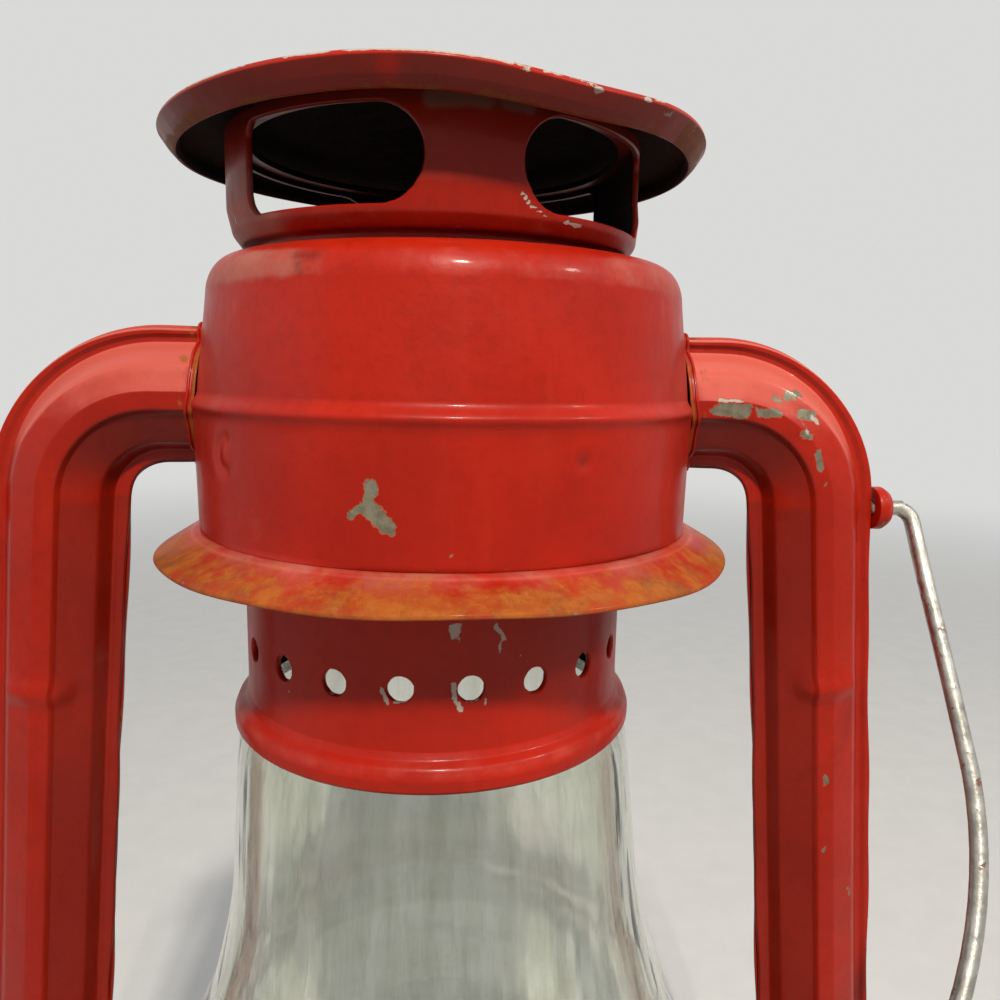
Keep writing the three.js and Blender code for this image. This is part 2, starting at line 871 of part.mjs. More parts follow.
function globePlate() {
  const outline = [
    point(plateBore, plateHeight),
    point(plateRimRadius, plateHeight),
    point(plateRimRadius, plateTop + plateRimHeight),
    point(plateRimRadius - sheet, plateTop + plateRimHeight),
    point(plateRimRadius - sheet, plateTop),
    point(plateBore, plateTop),
  ];
  const from = plateHeight - overrun;
  const drills = ringOfDrills(plateHoleRadius, plateHoleCircle, plateHoles, from, plateTop + overrun);
  return cut(turn(outline), drills);
}

add("globe_plate", globePlate(), redPaint);

// Lift lever, its bracket and pin, and the strut under the globe plate.
// Inside this group +X runs outward from the axis.

const leverGroup = new THREE.Group();
leverGroup.rotation.z = THREE.MathUtils.degToRad(leverAzimuth - 90);
lamp.add(leverGroup);

const padUnderside = leverPivotHeight - leverArm * Math.sin(leverRest) + leverEye + seatGap;

function liftStrut() {
  const post = block(strutThickness, strutWidth, padUnderside, plateHeight - seatGap);
  const pad = block(padLength, strutWidth, padUnderside, padUnderside + padThickness);
  return join(post, [pad]).translate(strutRadius, 0, 0);
}

function liftLever() {
  const length = leverArm + leverThumb;
  const half = leverHalfHeight;
  const inner = arc(-leverArm, 0, half, 90, 270, 4);
  const shape = new THREE.Shape([...inner, ...arc(leverThumb, 0, half, -90, 90, 4)]);
  const beam = extrude(shape, leverThickness).rotateX(Math.PI / 2).translate(0, leverThickness / 2, 0);
  const tab = new THREE.BoxGeometry(leverTabLength, leverTabWidth, leverTabThickness);
  const eye = bar(leverEye, -leverThickness / 2, leverThickness / 2, smallSides).rotateX(Math.PI / 2);
  const tip = eye.clone().translate(-leverArm, 0, 0);
  const bore = bar(boreRadius(leverPinRadius, runningGap, pinSides), -length, length, pinSides);
  const tabPlaced = tab.translate(leverThumb - leverTabLength / 2 + half, 0, half - leverTabThickness / 2);
  const lever = cut(join(beam, [eye, tip, tabPlaced]), [bore.rotateX(Math.PI / 2)]);
  return lever.rotateY(-leverRest).translate(leverPivotRadius, 0, leverPivotHeight);
}

function leverBracket() {
  const inside = leverThickness / 2 + seatGap;
  const outside = inside + bracketCheek;
  const top = leverPivotHeight + bracketCrown;
  const shape = new THREE.Shape([
    point(-outside, tankSeat),
    point(outside, tankSeat),
    point(outside, top),
    point(inside, top),
    point(inside, tankSeat + bracketFloor),
    point(-inside, tankSeat + bracketFloor),
    point(-inside, top),
    point(-outside, top),
  ]);
  const cheeks = extrude(shape, bracketLength).rotateX(Math.PI / 2).rotateZ(Math.PI / 2);
  const bore = bar(boreRadius(leverPinRadius, runningGap, pinSides), -bracketLength, bracketLength, pinSides);
  bore.rotateX(Math.PI / 2).translate(0, 0, leverPivotHeight);
  return cut(cheeks.translate(-bracketLength / 2, 0, 0), [bore]).translate(leverPivotRadius, 0, 0);
}

function leverPin() {
  const reach = leverThickness / 2 + seatGap + bracketCheek + leverPinRadius / 2;
  const pin = bar(leverPinRadius, -reach, reach, pinSides).rotateX(Math.PI / 2);
  return closed(pin.translate(leverPivotRadius, 0, leverPivotHeight));
}

add("lift_strut", liftStrut(), steelWire, leverGroup);
add("lift_lever", liftLever(), steelWire, leverGroup);
add("lever_bracket", leverBracket(), redPaint, leverGroup);
add("lever_pin", leverPin(), steelWire, leverGroup);

// Air box

function airBox() {
  const mouth = airBoxRadius - airBoxLedge;
  const box = turn([
    point(airBoxRadius - sheet, tankSeat),
    point(airBoxRadius, tankSeat),
    point(airBoxRadius, airBoxHeight),
    point(mouth, airBoxHeight),
    point(mouth, airBoxHeight - sheet),
    point(airBoxRadius - sheet, airBoxHeight - sheet),
  ]);
  const port = block(4 * airBoxRadius, airPortWidth, 0, airPortHeight);
  const shaftHole = bar(boreRadius(shaftRadius, seatGap, pinSides), 0, airBoxRadius + overrun, pinSides);
  shaftHole.rotateX(Math.PI / 2).translate(spurShaftX, 0, shaftHeight);
  return cut(box, [port.translate(0, 0, tubeLowHeight - airPortHeight / 2), shaftHole]);
}

add("air_box", airBox(), redPaint);

// Burner

function burnerCollar() {
  const inside = burnerCollarRadius - burnerCollarWall;
  const foot = tankHeight - 2 * sheet;
  return turn([
    point(inside, foot),
    point(burnerCollarRadius, foot),
    point(burnerCollarRadius, tankSeat),
    point(burnerCollarRadius + burnerCollarFlange, tankSeat),
    point(burnerCollarRadius + burnerCollarFlange, tankSeat + sheet),
    point(burnerCollarRadius, tankSeat + sheet),
    point(burnerCollarRadius, tankSeat + burnerCollarRise),
    point(inside, tankSeat + burnerCollarRise),
  ], burnerSides);
}

const wickTubeInner = { x: wickThickness + 2 * wickGap, y: wickWidth + 2 * wickGap };
const wickTubeOuter = { x: wickTubeInner.x + 2 * wickTubeWall, y: wickTubeInner.y + 2 * wickTubeWall };

function wickTubeHole(from, to, margin) {
  return block(wickTubeOuter.x + 2 * margin, wickTubeOuter.y + 2 * margin, from, to);
}

function burnerBody() {
  const floor = tankHeight;
  const outer = [
    point(burnerNeckRadius, floor),
    point(burnerNeckRadius, burnerBodyStep),
    point(burnerBodyRadius, burnerBodyStep),
    point(burnerBodyRadius, burnerBodyTop),
    point(burnerBodyRadius - sheet, burnerBodyTop),
    point(burnerBodyRadius - sheet, burnerBodyStep + sheet),
    point(burnerNeckRadius - sheet, burnerBodyStep + sheet),
    point(burnerNeckRadius - sheet, burnerBodyStep - sheet),
    point(0, burnerBodyStep - sheet),
    point(0, burnerBodyStep - 2 * sheet),
    point(burnerNeckRadius - sheet, burnerBodyStep - 2 * sheet),
    point(burnerNeckRadius - sheet, floor),
  ];
  const shaftBore = bar(boreRadius(shaftRadius, runningGap, pinSides), -airBoxRadius, airBoxRadius, pinSides);
  shaftBore.rotateX(Math.PI / 2).translate(spurShaftX, 0, shaftHeight);
  const wickSlot = wickTubeHole(floor, burnerBodyStep + overrun, seatGap / 2);
  return cut(turn(outer, burnerSides), [shaftBore, wickSlot]);
}

function wickTube() {
  const foot = tankHeight + wickTubeFoot;
  const top = tankHeight + wickTubeRise;
  const tube = wickTubeHole(foot, top, 0);
  const bore = block(wickTubeInner.x, wickTubeInner.y, foot - overrun, top + overrun);
  const slotHalf = spurRadius + seatGap;
  const slots = [-1, 1].map((side) => {
    const width = spurThickness + 2 * seatGap;
    const slot = block(wickTubeOuter.x, width, shaftHeight - slotHalf, shaftHeight + slotHalf);
    return slot.translate(wickTubeOuter.x / 2, (side * spurSpacing) / 2, 0);
  });
  return cut(tube, [bore, ...slots]);
}

function airDiffuser() {
  const from = burnerBodyTop + seatGap;
  const to = from + sheet;
  const discRadius = airBoxRadius - airBoxLedge - seatGap;
  const circle = discRadius - diffuserHoleInset;
  const drills = ringOfDrills(diffuserHoleRadius, circle, diffuserHoles, from - overrun, to + overrun);
  const slot = wickTubeHole(from - overrun, to + overrun, seatGap);
  const disc = bar(discRadius, from, to, burnerSides);
  return cut(disc, [...drills, slot]);
}

function burnerCone() {
  const shoulderRise = (coneTop - coneDomeStart) * coneShoulderRiseShare;
  const outer = [
    point(coneRadius, airBoxHeight + seatGap),
    point(coneRadius, coneStepHeight),
    point(coneUpperRadius, coneStepHeight),
    point(coneUpperRadius, coneDomeStart),
    ...smooth([
      point(coneUpperRadius, coneDomeStart),
      point(coneUpperRadius * coneShoulderShare, coneDomeStart + shoulderRise),
      point(0, coneTop),
    ], 5).slice(1),
  ];
  const width = wickThickness + 2 * coneSlotPlay;
  const slot = block(width, wickWidth + 2 * coneSlotPlay, coneDomeStart - overrun, coneTop + overrun);
  return cut(turn(wall(outer), burnerSides), [slot]);
}

add("burner_collar", burnerCollar(), brass);
add("burner_body", burnerBody(), brass);
add("wick_tube", wickTube(), brass);
add("air_diffuser", airDiffuser(), brass);
add("burner_cone", burnerCone(), brass);

// Wick and its drive

function spurWheel(side) {
  const wheel = extrude(toothed(spurRadius, spurRadius - spurToothDepth, spurTeeth), spurThickness);
  const through = spurThickness + overrun;
  const bore = bar(boreRadius(shaftRadius, runningGap, pinSides), -overrun, through, pinSides);
  const placed = cut(wheel, [bore]).rotateX(Math.PI / 2);
  return placed.translate(spurShaftX, (side * spurSpacing + spurThickness) / 2, shaftHeight);
}

const shaftFront = airBoxRadius + shaftReach;

function wickShaft() {
  const shaft = bar(shaftRadius, -burnerBodyRadius - shaftTail, shaftFront, pinSides).rotateX(Math.PI / 2);
  return closed(shaft.translate(spurShaftX, 0, shaftHeight));
}

function wickKnob() {
  const rim = extrude(toothed(knobRadius, knobRadius - knobKnurlDepth, knobKnurls), knobThickness);
  const hub = bar(knobHubRadius, -knobHubLength, knobThickness / 2, pinSides);
  const from = -knobHubLength - overrun;
  const bore = bar(boreRadius(shaftRadius, runningGap, pinSides), from, knobThickness / 2, pinSides);
  const knob = cut(join(rim, [hub]), [bore]).rotateX(Math.PI / 2);
  return knob.translate(spurShaftX, knobThickness / 2 - seatGap - shaftFront, shaftHeight);
}

const wickBottom = standRise + sheet + wickFloorPlay;
add("wick", closed(block(wickThickness, wickWidth, wickBottom, wickTop)), cotton);
add("spur_wheel_front", spurWheel(-1), brass);
add("spur_wheel_back", spurWheel(1), brass);
add("wick_shaft", wickShaft(), brass);
add("wick_knob", wickKnob(), brass);

// Guard wire in front of the globe

function guardWireCurve() {
  const halfSpan = tubeMiddleX(guardHeight) - tubeHalfWidth - seatGap - guardWire;
  const stations = [];
  for (let step = 0; step <= guardSteps; step++) {
    const angle = (Math.PI * step) / guardSteps;
    stations.push(new THREE.Vector3(halfSpan * Math.cos(angle), -guardReach * Math.sin(angle), guardHeight));
  }
  return sweep(polygon(guardWire, wireSides), stations);
}

add("guard_wire", guardWireCurve(), steelWire);

// Bail and its ears

const earInset = tubeMiddleX(bailHeight - earRadius) + tubeHalfWidth / Math.cos(tubeSplay) + seatGap;
const bailArm = earInset + earThickness + bailArmPlay;
const bailWidest = bailArm + bailSpread;

function bailEar() {
  const shape = polygon(earRadius, pinSides);
  shape.holes.push(polygon(boreRadius(bailWire, runningGap, wireSides), wireSides));
  return closed(extrude(shape, earThickness).rotateY(Math.PI / 2).translate(earInset, 0, bailHeight));
}

// The bail leans on the guard wire: this is its angle from hanging straight down
const guardAngle = Math.atan2(guardReach, bailHeight - guardHeight);
const wiresApart = bailWire + guardWire + seatGap;
const leanCosine = (bailReach ** 2 + guardDistance ** 2 - wiresApart ** 2) / (2 * bailReach * guardDistance);
const bailLean = guardAngle + Math.acos(leanCosine);

// One half of the bail in its own plane, x across and z away from the pivot, then the other half
function bailHandle() {
  const half = [new THREE.Vector3(earInset, 0, 0)];
  const corner = arc(bailArm - bailCorner, -bailCorner, bailCorner, 90, 0, bailCornerSteps);
  corner.forEach(({ x, y }) => half.push(new THREE.Vector3(x, 0, y)));
  for (let step = 0; step < bailBowSteps; step++) {
    const angle = (Math.PI / 2 * step) / bailBowSteps;
    const down = bailStraight + (bailReach - bailStraight) * Math.sin(angle);
    half.push(new THREE.Vector3(bailWidest * Math.cos(angle), 0, -down));
  }
  const other = half.map((station) => station.clone().setX(-station.x)).reverse();
  return sweep(polygon(bailWire, wireSides), [...half, new THREE.Vector3(0, 0, -bailReach), ...other]);
}

const bail = new THREE.Group();
bail.position.z = bailHeight;
bail.rotation.x = -bailLean;
lamp.add(bail);
add("bail_handle", bailHandle(), steelWire, bail);
add("bail_ear_right", bailEar(), redPaint);
add("bail_ear_left", mirrored(bailEar()), redPaint);

export default lamp;
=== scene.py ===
import math

import bpy
import numpy as np
from mathutils import Matrix, Vector
from mathutils.bvhtree import BVHTree


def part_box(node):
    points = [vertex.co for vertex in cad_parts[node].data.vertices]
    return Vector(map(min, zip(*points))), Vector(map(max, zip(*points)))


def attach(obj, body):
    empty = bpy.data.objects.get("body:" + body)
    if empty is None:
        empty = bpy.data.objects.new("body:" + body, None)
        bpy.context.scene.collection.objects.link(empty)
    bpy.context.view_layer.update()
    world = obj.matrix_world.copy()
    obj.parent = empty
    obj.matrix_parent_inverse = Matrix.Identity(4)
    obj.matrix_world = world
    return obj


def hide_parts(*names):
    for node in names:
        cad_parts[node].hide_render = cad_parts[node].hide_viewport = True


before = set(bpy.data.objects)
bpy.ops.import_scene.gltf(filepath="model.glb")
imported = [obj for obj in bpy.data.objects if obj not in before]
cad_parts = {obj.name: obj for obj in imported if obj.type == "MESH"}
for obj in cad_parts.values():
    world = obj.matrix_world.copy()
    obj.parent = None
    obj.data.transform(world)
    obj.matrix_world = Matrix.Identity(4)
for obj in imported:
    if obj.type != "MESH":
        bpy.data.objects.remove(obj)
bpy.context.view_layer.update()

# Lengths in this script are in millimetres unless a name says otherwise.
MM = 0.001
LOOSE = -1.6          # the hood and the globe stand this far to the left


# Helpers

def rad(degrees):
    return math.radians(degrees)


def angle_from(T, degrees):
    """How far round from that angle, in radians, from -pi to pi."""
    return (T - rad(degrees) + math.pi) % (2 * math.pi) - math.pi


def bump_at(values, centre, width):
    """1 at the centre, fading to 0 over that width."""
    return np.exp(-(((values - centre) / width) ** 2))


def rise(values, start, width):
    """0 up to the start, then climbing to 1 over that width."""
    return np.clip((values - start) / width, 0, 1)


def fall(values, end, width):
    """1 until that width before the end, then down to 0 there."""
    return np.clip((end - values) / width, 0, 1)


FAR = 9.0     # a field value that is outside every hole


def box_field(x, y, half_x, half_y, r):
    """The distance from a rectangle with rounded corners, below zero inside it."""
    qx, qy = np.abs(x) - half_x + r, np.abs(y) - half_y + r
    return np.hypot(np.maximum(qx, 0), np.maximum(qy, 0)) + np.minimum(np.maximum(qx, qy), 0) - r


def seen_from(verts, angle):
    """How far across and how far toward the eye the points lie, seen from that angle round the axis."""
    across = verts[:, 0] * math.cos(angle) + verts[:, 1] * math.sin(angle)
    return across, verts[:, 0] * math.sin(angle) - verts[:, 1] * math.cos(angle)


def waves(points, size, seed, count=7):
    """A smooth bumpy field in -1..1 with features of about that size."""
    rng = np.random.default_rng(seed)
    total = np.zeros(len(points))
    for _ in range(count):
        d = rng.normal(size=3)
        d *= (2 * math.pi / size) * rng.uniform(0.6, 1.3) / np.linalg.norm(d)
        total += np.sin(points @ d + rng.uniform(0, 2 * math.pi))
    return total / count * 1.6


def rounded(points, closed=False):
    """Points (x, y, radius, steps) with their corners rounded."""
    out = []
    n = len(points)
    for i, p in enumerate(points):
        x, y = p[0], p[1]
        r = p[2] if len(p) > 2 else 0
        steps = p[3] if len(p) > 3 else 4
        if r <= 0 or (not closed and i in (0, n - 1)):
            out.append((x, y))
            continue
        a, b = np.array(points[i - 1][:2], float), np.array(points[(i + 1) % n][:2], float)
        c = np.array([x, y], float)
        u, v = (a - c), (b - c)
        lu, lv = np.linalg.norm(u), np.linalg.norm(v)
        u, v = u / lu, v / lv
        half = math.acos(max(-1, min(1, float(u @ v)))) / 2
        reach = min(r / math.tan(half), 0.49 * lu, 0.49 * lv)
        r = reach * math.tan(half)
        mid = (u + v) / np.linalg.norm(u + v)
        centre = c + mid * (r / math.sin(half))
        s, e = c + u * reach - centre, c + v * reach - centre
        a0, a1 = math.atan2(s[1], s[0]), math.atan2(e[1], e[0])
        sweep = (a1 - a0 + math.pi) % (2 * math.pi) - math.pi
        for k in range(steps + 1):
            t = a0 + sweep * k / steps
            out.append((centre[0] + r * math.cos(t), centre[1] + r * math.sin(t)))
    return out


def resample(points, step):
    """A polyline with extra points so that no stretch is longer than step."""
    out = [points[0]]
    for a, b in zip(points, points[1:]):
        d = math.dist(a, b)
        k = max(1, math.ceil(d / step))
        for j in range(1, k + 1):
            out.append(tuple(p + (q - p) * j / k for p, q in zip(a, b)))
    return out


def closed_loop(points, step):
    """A closed loop of points with no stretch longer than step."""
    return resample(points + points[:1], step)[:-1]


def spline(points, count):
    """A smooth curve through a few points (Catmull-Rom)."""
    p = np.array(points, float)
    p = np.vstack([2 * p[0] - p[1], p, 2 * p[-1] - p[-2]])
    out = []
    for i in range(1, len(p) - 2):
        for k in range(count):
            t = k / count
            a, b, c, d = p[i - 1], p[i], p[i + 1], p[i + 2]
            out.append(0.5 * (2 * b + (c - a) * t + (2 * a - 5 * b + 4 * c - d) * t * t
                              + (3 * b - a - 3 * c + d) * t ** 3))
    out.append(p[-2])
    return [tuple(q) for q in out]


PIECES = {}


def piece(name, made, body, finish, stands_for, smooth=38):
    """A mesh object from points and faces, in place, that rides on its body and stands for a CAD node."""
    verts, faces = made
    material, slot = finish
    mesh = bpy.data.meshes.new(name)
    mesh.from_pydata((verts * MM).tolist(), [], outward(verts, faces))
    mesh.update()
    mesh.shade_smooth()
    mesh.set_sharp_from_angle(angle=rad(smooth))
    obj = bpy.data.objects.new(name, mesh)
    bpy.context.scene.collection.objects.link(obj)
    mesh.materials.append(material)
    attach(obj, body)
    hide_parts(stands_for)
    PIECES[name] = obj
    return obj


def outward(verts, faces):
    """The same faces, turned outward."""
    thirds = np.array([(f[0], f[i], f[i + 1]) for f in faces for i in range(1, len(f) - 1)])
    a, b, c = (verts[thirds[:, k]] for k in range(3))
    volume = np.sum(a * np.cross(b, c))
    return faces if volume > 0 else [tuple(reversed(f)) for f in faces]


def grid_faces(rows, cols, wrap_rows=False):
    """The faces of a grid of points whose columns close on themselves."""
    faces = []
    for i in range(rows if wrap_rows else rows - 1):
        a, b = i * cols, ((i + 1) % rows) * cols
        faces += [(a + j, a + (j + 1) % cols, b + (j + 1) % cols, b + j) for j in range(cols)]
    return faces


def turned(profile, sides, warp):
    """The points of a turned surface, one ring of them for each point of the profile."""
    r, z = np.array(profile).T
    R, T = np.meshgrid(r, np.arange(sides) * 2 * math.pi / sides, indexing="ij")
    Z = np.repeat(z[:, None], sides, 1)
    if warp:
        R, Z = warp(R, T, Z)
    return np.stack([R * np.sin(T), -R * np.cos(T), Z], -1).reshape(-1, 3)


def lathe(profile, sides=160, warp=None, centre=(0, 0)):
    """A turned solid. The profile is a closed loop, or runs from the axis back to the axis, bottom first."""
    closed = profile[0][0] > 1e-6
    ring = profile if closed else profile[1:-1]
    verts = turned(ring, sides, warp)
    faces = grid_faces(len(ring), sides, closed)
    if not closed:
        verts = np.vstack([verts, [[0, 0, profile[0][1]], [0, 0, profile[-1][1]]]])
        low, high = len(verts) - 2, len(verts) - 1
        last = (len(ring) - 1) * sides
        for j in range(sides):
            k = (j + 1) % sides
            faces.append((low, k, j))
            faces.append((high, last + j, last + k))
    return verts + np.array([*centre, 0]), faces


def vertex_normals(verts, faces):
    normals = np.zeros_like(verts)
    for f in faces:
        p = verts[list(f)]
        normals[list(f)] += sum(np.cross(p[i] - p[0], p[i + 1] - p[0]) for i in range(1, len(f) - 1))
    length = np.linalg.norm(normals, axis=1, keepdims=True)
    return normals / np.maximum(length, 1e-12)


def clip_grid(rows, cols, verts, field):
    """The grid's faces where the field is above zero, cut along its zero line.
    verts are the 3-D places; new points lie on the grid's edges."""
    verts = [tuple(v) for v in verts]
    field = np.where(np.abs(field) < 0.06, 0.0, field)
    cutpoint, faces = {}, []

    def crossing(a, b):
        key = (min(a, b), max(a, b))
        if key not in cutpoint:
            t = field[a] / (field[a] - field[b])
            cutpoint[key] = len(verts)
            verts.append(tuple(p + (q - p) * t for p, q in zip(verts[a], verts[b])))
        return cutpoint[key]

    for f in grid_faces(rows, cols):
        values = [field[v] for v in f]
        if min(values) >= 0:
            if max(values) > 0:
                faces.append(f)
            continue
        if max(values) <= 0:
            continue
        out = []
        for i, v in enumerate(f):
            w = f[(i + 1) % len(f)]
            if field[v] >= 0:
                out.append(v)
            if field[v] * field[w] < 0:
                out.append(crossing(v, w))
        if len(set(out)) >= 3:
            faces.append(tuple(dict.fromkeys(out)))
    used = sorted(set(v for f in faces for v in f))
    index = {v: i for i, v in enumerate(used)}
    return np.array([verts[v] for v in used]), [tuple(index[v] for v in f) for f in faces]


# The rim of a cut edge, from the outer side to the inner one: depth, then how far it stands out
RIM = ((0.12, 0.6), (0.35, 1.0), (0.65, 1.0), (0.88, 0.6))


def thicken(verts, faces, thickness, bulge):
    """A sheet of that thickness behind a surface, with rounded rims round its borders."""
    normals = vertex_normals(verts, faces)
    n = len(verts)
    out = [tuple(f) for f in faces] + [tuple(v + n for v in reversed(f)) for f in faces]
    border = {}
    for v, w in [(v, f[(i + 1) % len(f)]) for f in faces for i, v in enumerate(f)]:
        if border.pop((w, v), None) is None:
            border[(v, w)] = True
    side = {}
    for v, w in border:
        d = verts[w] - verts[v]
        d = d / max(np.linalg.norm(d), 1e-9)
        for p in (v, w):
            side[p] = side.get(p, np.zeros(3)) + np.cross(d, normals[p])
    ring, extra = {}, []
    for p, m in side.items():
        m = m / max(np.linalg.norm(m), 1e-9)
        first = 2 * n + len(extra)
        ring[p] = [p, *range(first, first + len(RIM)), p + n]
        extra += [verts[p] - normals[p] * thickness * depth + m * bulge * stands for depth, stands in RIM]
    for v, w in border:
        for a in range(len(RIM) + 1):
            out.append((ring[w][a], ring[v][a], ring[v][a + 1], ring[w][a + 1]))
    return np.vstack([verts, verts - normals * thickness, extra]), out


def shell(profile, sides, thickness, bulge, holes, warp=None, centre=(0, 0)):
    """A turned sheet given by its outer side, bottom to top, with holes where the field is below zero."""
    verts = turned(profile, sides, warp)
    verts, faces = clip_grid(len(profile), sides, verts, holes(verts))
    verts, faces = thicken(verts, faces, thickness, bulge)
    return verts + np.array([*centre, 0]), faces


def wire(points, radius, sides=16):
    """A round bar along a path, with rounded ends."""
    p = np.array(points, float)
    t = np.roll(p, -1, 0) - np.roll(p, 1, 0)
    t[0], t[-1] = p[1] - p[0], p[-1] - p[-2]
    t /= np.linalg.norm(t, axis=1, keepdims=True)
    u = np.cross(t[0], (0.0, 0.0, 1.0))
    us = []
    for along in t:
        u = u - along * (u @ along)
        u /= np.linalg.norm(u)
        us.append(u)
    us = np.array(us)
    vs = np.cross(t, us)
    turns = [rad(90 * (a + 0.15)) for a in (0.0, 0.3, 0.6, 0.85)]
    first = [p[0] + t[0] * radius * 0.8 * (1 - math.sin(a)) for a in turns]
    last = [p[-1] - t[-1] * radius * 0.8 * (1 - math.sin(a)) for a in turns]
    shrink = [math.cos(a) for a in turns]
    path = np.vstack([first[::-1], p[1:-1], last])
    radii = np.concatenate([shrink[::-1], np.ones(len(p) - 2), shrink]) * radius
    us = np.vstack([[us[0]] * 4, us[1:-1], [us[-1]] * 4])
    vs = np.vstack([[vs[0]] * 4, vs[1:-1], [vs[-1]] * 4])
    ang = (np.arange(sides) * 2 * math.pi / sides)[None, :, None]
    round_it = np.cos(ang) * us[:, None, :] + np.sin(ang) * vs[:, None, :]
    verts = (path[:, None, :] + radii[:, None, None] * round_it).reshape(-1, 3)
    return verts, capped(grid_faces(len(path), sides), sides)


def capped(faces, sides):
    """The faces of a tube, with both its ends closed."""
    last = 1 + max(max(f) for f in faces)
    return faces + [tuple(range(sides)), tuple(reversed(range(last - sides, last)))]


# Materials

class Shader:
    """The node tree of a material, or of the world, built by short calls."""

    def __init__(self, name, world=None):
        self.owner = world or bpy.data.materials.new(name)
        self.owner.use_nodes = True
        self.tree = self.owner.node_tree
        self.tree.nodes.clear()
        self.out = self.add("OutputWorld" if world else "OutputMaterial").inputs["Surface"]
        self.coord = self.add("TexCoord").outputs["Object"]

    def add(self, kind, **inputs):
        """A node of that kind with its inputs set or linked; _0 is its first input."""
        node = self.tree.nodes.new("ShaderNode" + kind)
        for key, value in inputs.items():
            self.put(node, key.replace("_", " ").strip(), value)
        return node

    def put(self, node, key, value):
        socket = node.inputs[int(key)] if key.isdigit() else node.inputs[key]
        if isinstance(value, bpy.types.NodeSocket):
            self.tree.links.new(value, socket)
        elif isinstance(value, tuple) and len(value) == 3 and socket.type == "RGBA":
            socket.default_value = (*value, 1)
        else:
            socket.default_value = value

    def attr(self, name):
        node = self.add("Attribute")
        node.attribute_name = name
        return node.outputs["Fac"]

    def math(self, operation, a, b, clamp=False):
        node = self.add("Math", _0=a, _1=b)
        node.operation = operation
        node.use_clamp = clamp
        return node.outputs[0]

    def plus(self, a, b, clamp=False):
        return self.math("ADD", a, b, clamp)

    def times(self, a, b):
        return self.math("MULTIPLY", a, b)

    def ramp(self, value, low, high, to_low=0.0, to_high=1.0):
        node = self.add("MapRange", Value=value, From_Min=low, From_Max=high, To_Min=to_low, To_Max=to_high)
        node.interpolation_type = "SMOOTHSTEP"
        return node.outputs["Result"]

    def mix(self, factor, a, b):
        node = self.add("Mix")
        node.data_type = "RGBA"
        for key, value in (("0", factor), ("6", a), ("7", b)):
            self.put(node, key, value)
        return node.outputs[2]

    def scaled(self, x, y, z):
        return self.add("Mapping", Vector=self.coord, Scale=(x, y, z)).outputs["Vector"]

    def noise(self, scale, detail=3.0, rough=0.55, vector=None):
        vector = vector or self.coord
        return self.add("TexNoise", Vector=vector, Scale=scale, Detail=detail, Roughness=rough).outputs["Fac"]

    def patches(self, scale, detail, rough, low, high, to_low=0.0, to_high=1.0):
        """Noise with its contrast set."""
        return self.ramp(self.noise(scale, detail, rough), low, high, to_low, to_high)

    def bump(self, height, strength, distance, normal=None):
        node = self.add("Bump", Height=height, Strength=strength, Distance=distance)
        if normal:
            self.put(node, "Normal", normal)
        return node.outputs["Normal"]

    def surface(self, **inputs):
        self.tree.links.new(self.add("BsdfPrincipled", **inputs).outputs[0], self.out)
        return self.owner

    def seen(self):
        """1 for what the camera, a reflection or the glass sees, 0 for light that falls on the lamp."""
        path = self.add("LightPath").outputs
        seen = self.plus(path["Is Camera Ray"], path["Is Glossy Ray"])
        return self.plus(seen, path["Is Transmission Ray"], True)

    def either(self, factor, first, second):
        """The first shader, or the second one where the factor is 1."""
        both = self.add("MixShader", _0=factor, _1=first.outputs[0], _2=second.outputs[0])
        self.tree.links.new(both.outputs[0], self.out)


